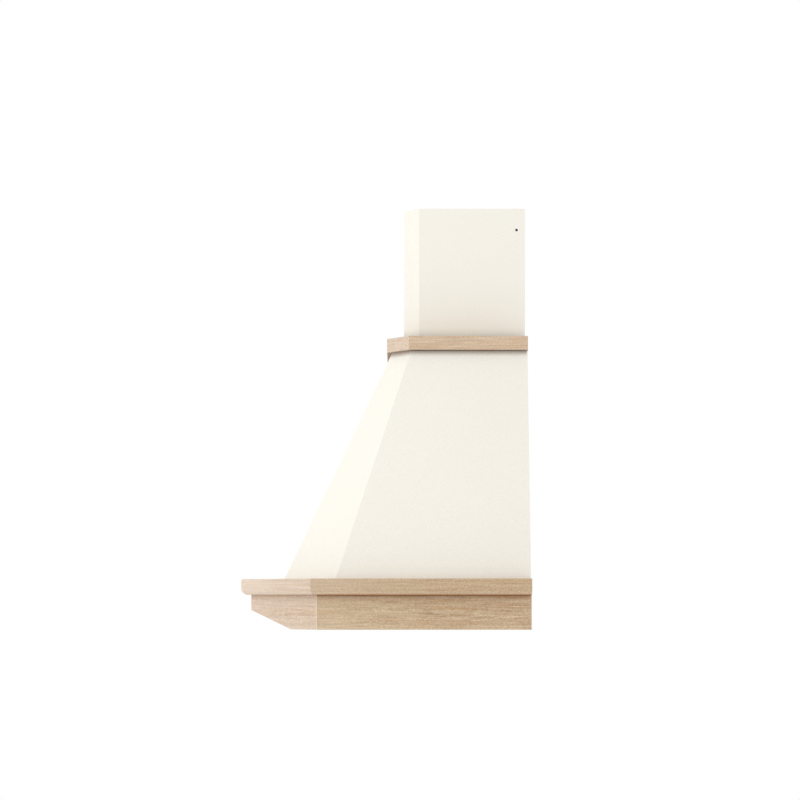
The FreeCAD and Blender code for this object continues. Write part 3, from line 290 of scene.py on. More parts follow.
# %% Wood figure as a node group
def make_wood_group():
    colours = dict.fromkeys(WOOD_COLOURS, COLOUR)
    tree, given = new_group(
        "wood_figure", Place=VECTOR, Knot=VECTOR, Rings=FLOAT, Figure=FLOAT, **colours
    )
    place = given["Place"]
    # Slow waves bend the rings, and the fibres a little.
    wave = remap(tree, noise(tree, place, WAVE_SCALE), 0.0, 1.0, -1.0, 1.0)
    bend = scaled(tree, wave, FIBRE_BEND)
    # Near the knot the fibres swell out round it, most at its middle.
    from_knot = vector_node(tree, "SUBTRACT", place, given["Knot"])
    knot_space = vector_node(tree, "DIVIDE", from_knot, (KNOT_LENGTH, KNOT_DEPTH, KNOT_WIDTH))
    distance = vector_node(tree, "LENGTH", knot_space)
    squared = scaled(tree, distance, distance)
    knot = math_node(tree, "EXPONENT", scaled(tree, squared, -1.0))
    upwards = scaled(tree, knot, split_vector(tree, knot_space)[2])
    swell = scaled(tree, upwards, -KNOT_SWELL)
    along, beside, above = split_vector(tree, place)[:3]
    across = math_node(tree, "ADD", beside, bend)
    through = math_node(tree, "ADD", math_node(tree, "ADD", above, bend), swell)
    fibre_place = join_vector(tree, along, across, through)
    # The log tapers, so the rings meet a board's face in arches.
    tapered = scaled(tree, along, LOG_TAPER, across)
    sides = join_vector(tree, tapered, through)
    radius = scaled(tree, wave, RING_BEND, vector_node(tree, "LENGTH", sides))
    uneven = scaled(tree, noise(tree, fibre_place, UNEVEN_SCALE, 3.0), RING_UNEVEN)
    turn = scaled(tree, radius, 2 * math.pi / RING_SPACING, uneven)
    ring = scaled(tree, math_node(tree, "SINE", turn), 0.5, 0.5)
    tone = scaled(tree, ring, given["Rings"])
    # A board with little figure also has quieter fibres and tints.
    quiet = math_node(tree, "MINIMUM", math_node(tree, "ADD", given["Figure"], 0.3), 1.0)
    strengths = {"figure": given["Figure"], "streaks": given["Figure"], "fibres": quiet, "speckle": 1.0}
    for layer, (scale, detail, roughness, share) in GRAIN.items():
        grain = noise(tree, place if layer == "speckle" else fibre_place, scale, detail, roughness)
        grain = remap(tree, grain, *NOISE_SPAN, -share, share)
        tone = scaled(tree, grain, strengths[layer], tone)
    # Round the knot the pores and flecks crowd together, and the rings close into an eye.
    dashes = noise(tree, fibre_place, DASH_SCALE, 1.0)
    shown = scaled(tree, knot, given["Figure"])
    crowd = scaled(tree, given["Figure"], DASHES, scaled(tree, shown, DASHES_AT_KNOT))
    pores = scaled(tree, remap(tree, dashes, *PORE_RANGE), crowd)
    flecks = scaled(tree, remap(tree, dashes, *FLECK_RANGE), crowd)
    circles = math_node(tree, "SINE", scaled(tree, distance, EYE_TURNS))
    eye = scaled(tree, circles, shown)
    core = scaled(tree, math_node(tree, "POWER", knot, CORE_POWER), shown)
    marks = {"pores": pores, "flecks": flecks, "knot": shown, "eye": eye, "core": core}
    for name, mark in marks.items():
        tone = scaled(tree, mark, MARKS[name], tone)
    wood = blend(tree, remap(tree, tone, *TONE_RANGE), given["Light"], given["Dark"])
    for tint, (scale, shift) in TINTS.items():
        moved = vector_node(tree, "ADD", fibre_place, (shift, shift, 0.0))
        patches = remap(tree, noise(tree, moved, scale, 3.0, 0.6), 0.5, 0.72, 0.0, TINT_STRENGTH)
        wood = blend(tree, scaled(tree, patches, quiet), wood, given[tint])
    roughness = remap(tree, tone, *TONE_RANGE, *WOOD_ROUGHNESS)
    return close_group(tree, Colour=wood, Height=scaled(tree, pores, -1.0), Roughness=roughness)


WOOD_FIGURE = make_wood_group()
print(f"wood group: {len(WOOD_FIGURE.nodes)} nodes, rings {RING_SPACING / MM:.1f} mm apart")

# %% [markdown]
# ### One oak per board
# A joiner cuts each board from its own place in the log and turns it to run along its edge of the hood.
# A Mapping node lays the wood's length along the board, and an addition moves the board away from the
# log's heart. The corner boards are paler, partly as paler stock and partly as painted light on faces
# turned to the front. They and the sides are paler towards the room, and the apron towards its foot.
# Painted shade darkens the wood where boards meet, and a painted shade line runs along the ledge's foot.
# The arrises are brown, partly as painted shade, and on the ledge pale, as a painted highlight, which
# also lies on the ledge's lower round and along each apron corner's mitre. The arris colour stays off the
# glued mitres, which are left crisp.

# %% The oak's colours and measures
def wood_colours(*colours):
    """The colours that the wood group takes, in the order of their names."""
    return {name: srgb(*colour) for name, colour in zip(WOOD_COLOURS, colours)}


OAK = wood_colours((217, 195, 163), (165, 130, 93), (187, 140, 88), (180, 158, 132))
BAND_OAK = wood_colours((231, 210, 184), (181, 150, 119), (202, 156, 110), (196, 177, 157))
# Oak for corner boards: partly paler stock, partly painted light on faces turned to the front.
PALE_OAK = wood_colours((233, 214, 193), (190, 165, 142), (212, 178, 140), (194, 176, 162))
# Paler oak: towards the front ends, partly painted light on corner boards, and a painted highlight at the
# ledge's foot.
PALE_OAK_AND_HIGHLIGHT = srgb(244, 229, 213)
PALE_GOLDEN_OAK = srgb(240, 222, 194)
# Brown for the arrises, partly painted shade on their rounds.
ARRIS_BROWN_AND_SHADE = srgb(180, 130, 80)
# A painted shade line along the ledge's foot.
LEDGE_FOOT_SHADE = srgb(196, 134, 68)
# Browns of painted shade for inner corners, such as under the band and under the ledge.
PAINTED_SHADE_BROWN = srgb(54, 28, 10)
WARM_PAINTED_SHADE = srgb(110, 62, 14)
# A painted highlight for the ledge's arrises and the apron corners' mitres.
PAINTED_EDGE_HIGHLIGHT = srgb(250, 240, 226)
# The way that each board runs, in degrees round from +X, always from its front end to its wall end.
GRAIN_ANGLE = {"right_side": 90, "right_corner": 45, "front": 0, "left_corner": 135, "left_side": 90}
# Where the middle of each ring's boards lies from the log's heart: along it, beside it and above it.
HEART = {"ledge": (0.0, 0.11, 0.05), "apron": (-0.12, 0.05, 0.012), "band": (0.3, 0.09, 0.04)}
# How far on in the log each next board is cut: along it, beside its heart and above it.
NEXT_BOARD = Vector((0.7, 0.0, 4 * MM))
# The painted shade in each ring's inner corners: its colour, and its reach in millimetres, its strength
# and its power for side boards and for others.
CORNER_SHADE = {
    "ledge": (PAINTED_SHADE_BROWN, (8, 0.15, 1.0), (8, 0.1, 1.0)),
    "apron": (WARM_PAINTED_SHADE, (55, 1.0, 1.7), (34, 0.4, 1.8)),
    "band": (PAINTED_SHADE_BROWN, (60, 0.98, 1.0), (60, 0.5, 1.0)),
}
# How strongly the growth rings show in each ring's boards, then how strongly the rest of the figure shows
# in its corner boards and in the others.
FIGURE = {"ledge": (0.08, 0.5, 0.25), "apron": (0.12, 0.4, 0.75), "band": (0.06, 0.5, 0.6)}
# How much paler a board is as a whole and at its front end, in each ring, for its side and corner boards;
# on corner boards the paleness as a whole is partly painted light.
PALENESS = {
    "ledge": {"side": (0.0, 0.2), "corner": (0.08, 0.35)},
    "apron": {"side": (0.07, 0.18), "corner": (0.0, 0.2)},
    "band": {"side": (0.0, 0.0), "corner": (0.0, 0.12)},
}
PALE_FRONT_LENGTH = {"side": 220 * MM, "corner": 150 * MM}
# How much paler a ring's foot is, fading between two heights in millimetres, and its strength: on the
# ledge a painted highlight where its lower round catches light, on the apron only paler.
PALE_FOOT_AND_HIGHLIGHT = {"ledge": (3, 6, 0.16), "apron": (3, 9, 0.14)}
# The strengths of the arris colour and of the painted shade line along the ledge's foot, by kind of
# board.
ARRIS_STRENGTH = {"side": 0.6, "corner": 0.3, "front": 0.6}
LEDGE_FOOT_SHADE_STRENGTH = {"side": 0.7, "corner": 0.2, "front": 0.2}
ARRIS = 2.2 * MM
# Distances over which the arris colour comes in beside a mitre, and the ledge's painted foot shade and
# the apron's painted mitre highlight fade out.
ARRIS_FADE_RANGE = (1.5 * MM, 4 * MM)
LEDGE_FOOT_SHADE_RANGE = (0.8 * MM, 1.8 * MM)
MITRE_HIGHLIGHT_RANGE = (0.6 * MM, 1.8 * MM)
# Each knot's place from the middle of its board: along it, through its thickness and upwards.
KNOTS = {
    "apron_right_side": (0.04, 0.01, 0.001),
    "apron_left_side": (-0.06, 0.01, 0.004),
    "apron_right_corner": (0.02, 0.0, -0.004),
    "apron_left_corner": (-0.03, 0.0, 0.004),
    "apron_front": (0.07, 0.0, 0.0),
}
NO_KNOT = (5.0, 0.0, 0.0)
print(f"oak: {len(HEART)} rings of {len(GRAIN_ANGLE)} boards, {len(KNOTS)} boards with a knot")


# %% Oak boards
def board_axes(board, angle):
    """A board's middle, and its two ends along X, once it is turned to run along X."""
    turn = Matrix.Rotation(math.radians(-angle), 3, "Z")
    low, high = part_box(board)
    lengths = [(turn @ vertex.co).x for vertex in nodes[board].data.vertices]
    return turn @ ((low + high) / 2), min(lengths), max(lengths)


def upright_faces(tree, steepest=0.5):
    """1 on upright faces and 0 on flat ones; steepest is how far a normal may rise."""
    facing = add_node(tree, "ShaderNodeTexCoord").outputs["Normal"]
    rise = math_node(tree, "ABSOLUTE", split_vector(tree, facing)[2])
    return math_node(tree, "LESS_THAN", rise, steepest)


def make_oak(board, ring, piece, angle, heart):
    material, tree, place = new_finish(f"oak_{board}", Specular_IOR_Level=0.35)
    middle, front_end, wall_end = board_axes(board, angle)
    rotation = (0, 0, math.radians(-angle))
    turned = add_node(tree, "ShaderNodeMapping", [("Vector", place), ("Rotation", rotation)]).outputs[0]
    in_log = vector_node(tree, "ADD", turned, heart - middle)
    kind = "corner" if "corner" in piece else "side" if "side" in piece else "front"
    # Corner boards take the paler oak, which is partly painted light.
    colours = PALE_OAK if kind == "corner" else BAND_OAK if ring == "band" else OAK
    knot = heart + Vector(KNOTS.get(board, NO_KNOT))
    rings, in_corners, in_others = FIGURE[ring]
    shown = in_corners if kind == "corner" else in_others
    sockets = {"Place": in_log, "Knot": knot, "Rings": rings, "Figure": shown}
    figure = place_group(tree, WOOD_FIGURE, **sockets, **colours)
    along, _, height = split_vector(tree, turned)[:3]
    whole, at_front = PALENESS[ring].get(kind, (0.0, 0.0))
    length = PALE_FRONT_LENGTH.get(kind, 1.0)
    paleness = remap(tree, along, front_end, front_end + length, whole + at_front, whole)
    # Paler towards the front end; for corner boards the paleness as a whole is partly painted light.
    pale_tone = PALE_GOLDEN_OAK if ring == "apron" and kind == "side" else PALE_OAK_AND_HIGHLIGHT
    wood = blend(tree, paleness, figure["Colour"], pale_tone)
    # The arris colour fades out towards each mitre; a side board's wall end is square and keeps it. It is
    # a brown that is partly painted shade on the rounded arrises, and on the ledge a painted highlight.
    arris = masked(tree, EDGE_MASK, ARRIS, ARRIS_STRENGTH[kind])
    from_front = math_node(tree, "SUBTRACT", along, front_end)
    from_wall = math_node(tree, "SUBTRACT", wall_end, along)
    mitres = [from_front] if kind == "side" else [from_front, from_wall]
    for from_mitre in mitres:
        arris = scaled(tree, arris, remap(tree, from_mitre, *ARRIS_FADE_RANGE))
    wood = blend(tree, arris, wood, PAINTED_EDGE_HIGHLIGHT if ring == "ledge" else ARRIS_BROWN_AND_SHADE)
    from_foot = math_node(tree, "SUBTRACT", height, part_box(board)[0].z)
    # A paler foot: on the ledge a painted highlight on its lower round.
    if ring in PALE_FOOT_AND_HIGHLIGHT:
        low, high, share = PALE_FOOT_AND_HIGHLIGHT[ring]
        wood = blend(tree, remap(tree, from_foot, low * MM, high * MM, share, 0.0), wood, pale_tone)
    # A painted shade line along the ledge's foot, on its upright faces.
    if ring == "ledge":
        line = remap(tree, from_foot, *LEDGE_FOOT_SHADE_RANGE, LEDGE_FOOT_SHADE_STRENGTH[kind], 0.0)
        line = scaled(tree, line, upright_faces(tree, steepest=0.99))
        wood = blend(tree, line, wood, LEDGE_FOOT_SHADE)
    # A painted highlight along each apron corner's mitre with its side board.
    if ring == "apron" and kind == "corner":
        wood = blend(tree, remap(tree, from_wall, *MITRE_HIGHLIGHT_RANGE, 0.6, 0.0), wood, PAINTED_EDGE_HIGHLIGHT)
    # Painted shade in the inner corners.
    shade, for_sides, for_others = CORNER_SHADE[ring]
    reach, strength, power = for_sides if kind == "side" else for_others
    wood = blend(tree, masked(tree, PAINTED_SHADE_MASK, reach * MM, strength, power), wood, shade)
    return connect(material, wood, figure["Roughness"], figure["Height"], 0.15 * MM, 0.6)


for ring, heart in HEART.items():
    for count, (piece, angle) in enumerate(GRAIN_ANGLE.items()):
        board = f"{ring}_{piece}"
        paint_nodes(make_oak(board, ring, piece, angle, Vector(heart) + NEXT_BOARD * count), [board])
print("15 oak boards finished")

# %% [markdown]
# ## The paint
# The canopy and the chimney are painted a warm off-white, over fibreboard that is left bare inside. A
# sprayed satin paint is not perfectly flat: it has a very fine ripple, and its colour drifts a little
# over a large board. The inside could be a second material on its own faces, but the CAD meshes stay as
# they are, so the material asks instead which way a point faces: away from the hood's middle it is
# painted, and towards it it is bare board.

# %% Paint
CREAM = srgb(251, 248, 239)
CREAM_DEEP = srgb(248, 244, 234)
CREAM_SPECKLE = srgb(238, 233, 221)
# A painted highlight for the painted boards' folds and edges.
PAINT_EDGE_HIGHLIGHT = srgb(255, 252, 245)
BARE_BOARD = srgb(203, 174, 139)
BARE_BOARD_DARK = srgb(178, 147, 112)
# Painted shade: grey towards the canopy's foot over a height with a strength, in inner corners above a
# rise, and towards the wall from a place along Y.
FOOT_SHADE_GREY = srgb(140, 146, 148)
FOOT_SHADE_HEIGHT, FOOT_SHADE = 140 * MM, 0.03
CORNER_SHADE_RISE = 30 * MM
WALL_SHADE_START = -0.36  # along Y, with the wall at 0
HOOD_MIDDLE = (0, -0.1, 0)
LOOKS_IN = -0.02  # metres that the way out from the middle goes against a face's normal


def make_paint(name, shade, reach, strength, lowest, foot, at_wall):
    """Paint with painted shade near the wall and the foot, and in its inner corners above a height."""
    material, tree, place = new_finish(name, Specular_IOR_Level=0.4)
    drift = noise(tree, place, 6.0)
    colour = blend(tree, drift, CREAM, CREAM_DEEP)
    speckle = remap(tree, noise(tree, place, 480.0, 1.0, 0.5), 0.35, 0.7, 0.0, 0.5)
    colour = blend(tree, speckle, colour, CREAM_SPECKLE)
    # A painted highlight along the boards' folds and edges.
    colour = wear_and_highlight_edges(tree, colour, PAINT_EDGE_HIGHLIGHT, 0.5, reach=2 * MM)
    _, depth, height = split_vector(tree, place)[:3]
    # Painted shade towards the wall.
    near_wall = remap(tree, depth, WALL_SHADE_START, 0.0, 0.0, at_wall)
    colour = blend(tree, near_wall, colour, shade)
    # Painted shade towards the foot.
    near_foot = remap(tree, height, foot, foot + FOOT_SHADE_HEIGHT, FOOT_SHADE, 0.0)
    colour = blend(tree, near_foot, colour, FOOT_SHADE_GREY)
    # Painted shade in the inner corners, above a height.
    above = remap(tree, height, lowest, lowest + CORNER_SHADE_RISE)
    shaded = scaled(tree, masked(tree, PAINTED_SHADE_MASK, reach, strength), above)
    colour = blend(tree, shaded, colour, shade)
    # Bare fibreboard on the faces that look at the hood's middle.
    outwards = vector_node(tree, "MULTIPLY", vector_node(tree, "SUBTRACT", place, HOOD_MIDDLE), (1, 1, 0))
    facing = add_node(tree, "ShaderNodeTexCoord").outputs["Normal"]
    inside = math_node(tree, "LESS_THAN", vector_node(tree, "DOT_PRODUCT", facing, outwards), LOOKS_IN)
    felt = noise(tree, place, 300.0, 4.0, 0.7)
    board = blend(tree, remap(tree, felt, *NOISE_SPAN), BARE_BOARD, BARE_BOARD_DARK)
    colour = blend(tree, inside, colour, board)
    roughness = scaled(tree, inside, 0.35, remap(tree, drift, *NOISE_SPAN, 0.42, 0.5))
    ripple = math_node(tree, "ADD", noise(tree, place, 900.0), noise(tree, place, (700, 700, 40)))
    return connect(material, colour, roughness, ripple, 0.05 * MM)


BAND_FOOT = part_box("band_front")[0].z
CANOPY_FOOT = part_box("canopy_front_panel")[0].z
# The painted shade of each part's paint: its colour, its reach and strength in inner corners, the height
# where it begins, the height of the part's foot, and its strength at the wall.
PAINTS = {
    "canopy": (srgb(140, 98, 48), 10 * MM, 0.5, CANOPY_FOOT + 100 * MM, CANOPY_FOOT, 0.055),
    "chimney": (srgb(100, 104, 112), 25 * MM, 0.55, BAND_FOOT, BAND_FOOT, 0.03),
}
for part, shading in PAINTS.items():
    panels = [name for name in nodes if name.startswith(part) and name.endswith("_panel")]
    paint_nodes(make_paint(f"{part}_paint", *shading), panels)
    print(f"{part}: {len(panels)} painted boards")

# %% [markdown]
# ## Boards inside
# The top, shoulder and base boards are birch plywood and the rails and strips are softwood, all left
# unfinished. They could have trees of their own, but unfinished wood differs from the oak in its
# colours and rings only, so the same wood group serves, turned to each board's length. Plywood also
# shows its plies on every sawn edge: thin layers by height, wherever the face stands upright.

# %% Plywood and softwood
BIRCH = wood_colours((226, 205, 170), (196, 166, 126), (212, 180, 132), (204, 186, 158))
PINE = wood_colours((234, 208, 164), (206, 166, 116), (222, 180, 124), (216, 190, 154))
PLY_EDGE = srgb(160, 122, 82)
PLY = 1.5 * MM
ALONG_X = (0, 0, 0)
ALONG_Z = (0, math.radians(90), 0)
PLACE_IN_LOG = (0.2, 0.13, 0.06)
# Which pieces are of each wood, how strongly its rings show, and the turn that lays its length along X.
INNER_WOOD = [
    (("top_board", "shoulder_board", "base_board"), BIRCH, 0.2, ALONG_X),
    (("hanging_rail", "lower_rail"), PINE, 0.7, ALONG_X),
    (("side_fold_strips", "front_fold_strips"), PINE, 0.7, ALONG_Z),
]


def make_inner_wood(node, colours, rings, turn, plywood):
    material, tree, place = new_finish(f"{node}_wood", Specular_IOR_Level=0.3)
    mapping = [("Vector", place), ("Rotation", turn), ("Location", PLACE_IN_LOG)]
    in_log = add_node(tree, "ShaderNodeMapping", mapping).outputs[0]
    sockets = {"Place": in_log, "Knot": NO_KNOT, "Rings": rings, "Figure": 1.0}
    figure = place_group(tree, WOOD_FIGURE, **sockets, **colours)
    wood = figure["Colour"]
    if plywood:
        height = split_vector(tree, place)[2]
        layers = math_node(tree, "SINE", scaled(tree, height, math.pi / PLY))
        ply = scaled(tree, upright_faces(tree), remap(tree, layers, -0.3, 0.3, 0.0, 0.7))
        wood = blend(tree, ply, wood, PLY_EDGE)
    # Painted shade in the inner corners.
    wood = blend(tree, masked(tree, PAINTED_SHADE_MASK, 25 * MM, 0.3), wood, PAINTED_SHADE_BROWN)
    return connect(material, wood, figure["Roughness"], figure["Height"], 0.2 * MM)


for names, colours, rings, turn in INNER_WOOD:
    for node in names:
        paint_nodes(make_inner_wood(node, colours, rings, turn, plywood=colours is BIRCH), [node])
print("7 inner boards and strips finished")

# %% [markdown]
# ## Metal
# Three looks of metal meet in the insert. Stainless sheet and aluminium are brushed: fine scratches
# along one direction that spread each reflection, here a noise drawn out into lines. Galvanised sheet
# shows spangle, the large flat crystals of zinc, which Voronoi cells give at once. Every edge is a
# little brighter, where handling has polished it, and fingers and grease leave soft cloudy smears.


# %% Brushed lines and smears
def make_brushed_group():
    tree, given = new_group("brushed_lines", Place=VECTOR, Scale=VECTOR)
    lines = noise(tree, given["Place"], given["Scale"], 3.0, 0.7)
    clouds = noise(tree, given["Place"], 22.0, 3.0, 0.6)
    return close_group(tree, Lines=lines, Smears=remap(tree, clouds, 0.4, 0.75))


BRUSHED = make_brushed_group()
POLISHED = (0.9, 0.9, 0.9, 1)
SMEAR_ROUGHNESS, LINE_ROUGHNESS = 0.14, 0.1


def make_brushed_metal(name, colour, dark, roughness, scale):
    material, tree, place = new_finish(name, Metallic=1.0)
    brushed = place_group(tree, BRUSHED, Place=place, Scale=scale)
    tone = blend(tree, remap(tree, brushed["Lines"], *NOISE_SPAN), srgb(*colour), srgb(*dark))
    smeared = scaled(tree, brushed["Smears"], SMEAR_ROUGHNESS, roughness)
    lined = scaled(tree, brushed["Lines"], LINE_ROUGHNESS, smeared)
    return connect(material, wear_and_highlight_edges(tree, tone, POLISHED, 0.4), lined, brushed["Lines"], 0.02 * MM)


STEEL = make_brushed_metal("satin_steel", (206, 207, 208), (188, 190, 192), 0.24, (12, 1500, 1500))
ALUMINIUM = make_brushed_metal("filter_aluminium", (214, 216, 218), (196, 199, 202), 0.3, (20, 900, 900))
paint_nodes(STEEL, ["insert_fascia"])
print("brushed metals ready")

# %% Galvanised sheet and the motor's can
SPANGLE = 11 * MM
ZINC_DARK, ZINC_LIGHT = srgb(176, 181, 186), srgb(206, 209, 212)
WHITE_RUST = srgb(214, 214, 210)
RUBBED_ZINC = (0.85, 0.85, 0.85, 1)
LACQUER, LACQUER_DARK = srgb(92, 95, 99), srgb(80, 83, 88)
SHEET_LIGHT, SHEET_DARK = srgb(120, 122, 124), srgb(66, 66, 68)
LAMINATION = 0.7 * MM
STACK_SHARE = 0.28  # of the motor's length, on each side of its middle


def make_galvanised():
    material, tree, place = new_finish("galvanised_steel", Metallic=1.0)
    cells = add_node(tree, "ShaderNodeTexVoronoi", [("Vector", place), ("Scale", 1 / SPANGLE)])
    crystal = split_vector(tree, cells.outputs["Color"])[0]
    colour = blend(tree, crystal, ZINC_DARK, ZINC_LIGHT)
    rusted = remap(tree, noise(tree, place, 35.0, 4.0, 0.7), 0.55, 0.75, 0.0, 0.35)
    colour = wear_and_highlight_edges(tree, blend(tree, rusted, colour, WHITE_RUST), RUBBED_ZINC, 0.4)
    ripple = math_node(tree, "ADD", crystal, noise(tree, place, 60.0))
    return connect(material, colour, scaled(tree, crystal, 0.18, 0.34), ripple, 0.03 * MM, 0.4)


def make_motor_metal():
    """Grey lacquer over the can, with the edges of the stator's laminations showing round its middle."""
    material, tree, place = new_finish("motor_metal", Metallic=0.3)
    low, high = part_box("fan_motor")
    across = split_vector(tree, place)[0]
    middle = math_node(tree, "ABSOLUTE", math_node(tree, "SUBTRACT", across, (low.x + high.x) / 2))
    stack = math_node(tree, "LESS_THAN", middle, (high.x - low.x) * STACK_SHARE)
    sheets = math_node(tree, "SINE", scaled(tree, across, math.pi / LAMINATION))
    lacquer = remap(tree, noise(tree, place, 260.0, 3.0), *NOISE_SPAN)
    sheet = blend(tree, remap(tree, sheets, -0.5, 0.5), SHEET_LIGHT, SHEET_DARK)
    colour = blend(tree, stack, blend(tree, lacquer, LACQUER, LACQUER_DARK), sheet)
    height = scaled(tree, stack, sheets, lacquer)
    return connect(material, colour, scaled(tree, lacquer, 0.12, 0.4), height, 0.08 * MM)


GALVANISED = ["insert_case", "blower_box", "chimney_wall_bracket", "motor_bracket", "impeller_shaft"]
GALVANISED += ["flap_pin", "outlet_collar"]
paint_nodes(make_galvanised(), GALVANISED)
paint_nodes(make_motor_metal(), ["fan_motor"])
print(f"galvanised pieces: {len(GALVANISED)}")

# %% [markdown]
# ## Plastic
# Moulded plastic carries the fine texture of its mould, and it is lighter on its edges, where it is
# rubbed. One group gives the texture as a height and a tone, at any size, and each plastic places it
# with its own colours.


# %% Moulded plastics
def make_moulded_group():
    tree, given = new_group("moulded_texture", Place=VECTOR, Scale=FLOAT)
    height = noise(tree, given["Place"], given["Scale"], 3.0)
    drift = noise(tree, given["Place"], 30.0, 3.0, 0.6)
    return close_group(tree, Height=height, Tone=remap(tree, drift, *NOISE_SPAN))


MOULDED = make_moulded_group()
# Each one's colour, the colours it drifts to and is rubbed to, its roughness and its texture's scale.
PLASTICS = {
    "grey_plastic": ((98, 100, 103), (90, 92, 95), (132, 134, 136), 0.42, 1400.0),
    "button_plastic": ((168, 170, 172), (160, 162, 165), (196, 197, 198), 0.35, 1800.0),
    "fan_plastic": ((42, 43, 46), (36, 37, 40), (78, 79, 82), 0.45, 900.0),
    "lamp_lacquer": ((214, 214, 212), (208, 208, 206), (228, 228, 226), 0.38, 1100.0),
}


def make_plastic(name):
    colour, other, rubbed, roughness, scale = PLASTICS[name]
    material, tree, place = new_finish(name, Specular_IOR_Level=0.45)
    texture = place_group(tree, MOULDED, Place=place, Scale=scale)
    tone = blend(tree, texture["Tone"], srgb(*colour), srgb(*other))
    tone = wear_and_highlight_edges(tree, tone, srgb(*rubbed), 0.35)
    rough = scaled(tree, texture["Tone"], 0.1, roughness)
    return connect(material, tone, rough, texture["Height"], 0.03 * MM, 0.6)


GREY_PLASTIC, BUTTON_PLASTIC, FAN_PLASTIC, LAMP_LACQUER = [make_plastic(name) for name in PLASTICS]
paint_nodes(FAN_PLASTIC, ["scroll_housing", "impeller", "front_flap", "rear_flap"])
print("four plastics and lacquers ready")

# %% [markdown]
# ## Working on a mesh
# Small parts that are seen close by need rounded edges, which a CAD solid kept to few faces lacks.
# A finished piece can start from the solid itself: its loose triangles are merged, the flat faces are
# made whole again, and the sharp edges are bevelled. That keeps every size of the solid, which modelling
# from nothing would have to repeat. A helper then makes the piece, lets it ride on the body of the
# solid and hides the solid it stands for.


# %% Mesh helpers
SAME_PLACE = 0.002 * MM
FLAT, SHARP = math.radians(1), math.radians(30)


def add_object(name, data):
    thing = bpy.data.objects.new(name, data)
    bpy.context.scene.collection.objects.link(thing)
    return thing


def finished_mesh(name, bm):
    mesh = bpy.data.meshes.new(name)
    bm.to_mesh(mesh)
    bm.free()
    return mesh


def take_in(bm, mesh):
    """Adds a mesh to a bmesh and does away with the mesh."""
    bm.from_mesh(mesh)
    bpy.data.meshes.remove(mesh)


def merged_copy(node):
    """A bmesh of a CAD node with its loose triangles joined and its flat faces whole."""
    bm = bmesh.new()
    bm.from_mesh(nodes[node].data)
    bmesh.ops.remove_doubles(bm, verts=bm.verts, dist=SAME_PLACE)
    bmesh.ops.dissolve_limit(bm, angle_limit=FLAT, verts=bm.verts, edges=bm.edges)
    return bm


def soften(bm, width, segments=2, shortest=0.0):
    """Bevels the sharp edges, leaving out those that are too short."""
    sharp = []
    for edge in bm.edges:
        if edge.is_manifold and edge.calc_face_angle() > SHARP and edge.calc_length() > shortest:
            sharp.append(edge)
    settings = {"offset_type": "OFFSET", "affect": "EDGES", "profile": 0.5, "material": -1}
    bmesh.ops.bevel(bm, geom=sharp, offset=width, segments=segments, clamp_overlap=True, **settings)


def add_piece(name, bm, body, material, replaced, smooth_below=None):
    """Makes the piece, smooth where its faces meet at less than an angle in degrees."""
    mesh = finished_mesh(name, bm)
    mesh.materials.append(material)
    if smooth_below:
        mesh.shade_smooth()
        mesh.set_sharp_from_angle(angle=math.radians(smooth_below))
    piece = add_object(name, mesh)
    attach(piece, body)
    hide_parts(replaced)
    print(f"{name}: {len(mesh.polygons)} faces")


def add_rounded(node, body, material, width, segments=2, shortest=0.0):
    """Makes the piece that is only its solid with bevelled edges."""
    bm = merged_copy(node)
    soften(bm, width, segments, shortest)
    add_piece(f"{node}_rounded", bm, body, material, node)


print("mesh helpers ready")

# %% [markdown]
# ## Screws
# Three groups of screws hold the hood together, and the two in the chimney's sides show as small dark
# dots. A screw could be a cylinder on a cylinder, but seen close by its cross recess is what makes it a
# screw. The recess is sunk in a small square grid, the grid's border is bridged to a circle, and that
# circle is drawn on as the profile of head, shank and point.

# %% Screw shapes
HEAD_SEGMENTS = 20
GRID_CELLS = HEAD_SEGMENTS // 4
GRID_HALF, HEAD_FLAT = 0.6, 0.86  # of the head's radius
RECESS_DEPTH = 0.6  # of the head's height
RECESS_TAPER = 0.8
Z_AXIS = Vector((0, 0, 1))


def separate_solids(node):
    """The lowest and highest corners of each separate solid in a node, in a fixed order."""
    bm = merged_copy(node)
    left = set(bm.verts)
    boxes = []
    while left:
        reached = [left.pop()]
        for vertex in reached:
            for edge in vertex.link_edges:
                other = edge.other_vert(vertex)
                if other in left:
                    left.remove(other)
                    reached.append(other)
        places = [vertex.co for vertex in reached]
        low = Vector([min(place[axis] for place in places) for axis in range(3)])
        high = Vector([max(place[axis] for place in places) for axis in range(3)])
        boxes.append((low, high))
    bm.free()
    return sorted(boxes, key=lambda box: tuple(round(value, 5) for value in box[0]))


def draw_on(bm, loop, radius, height):
    """Extrudes a round loop of edges about Z to a new radius and height, and returns the new loop."""
    made = bmesh.ops.extrude_edge_only(bm, edges=loop)["geom"]
    fresh = {item for item in made if isinstance(item, bmesh.types.BMVert)}
    for vertex in fresh:
        outwards = Vector((vertex.co.x, vertex.co.y, 0)).normalized() * radius
        vertex.co = (outwards.x, outwards.y, height)
    edges = [item for item in made if isinstance(item, bmesh.types.BMEdge)]
    return [edge for edge in edges if fresh.issuperset(edge.verts)]


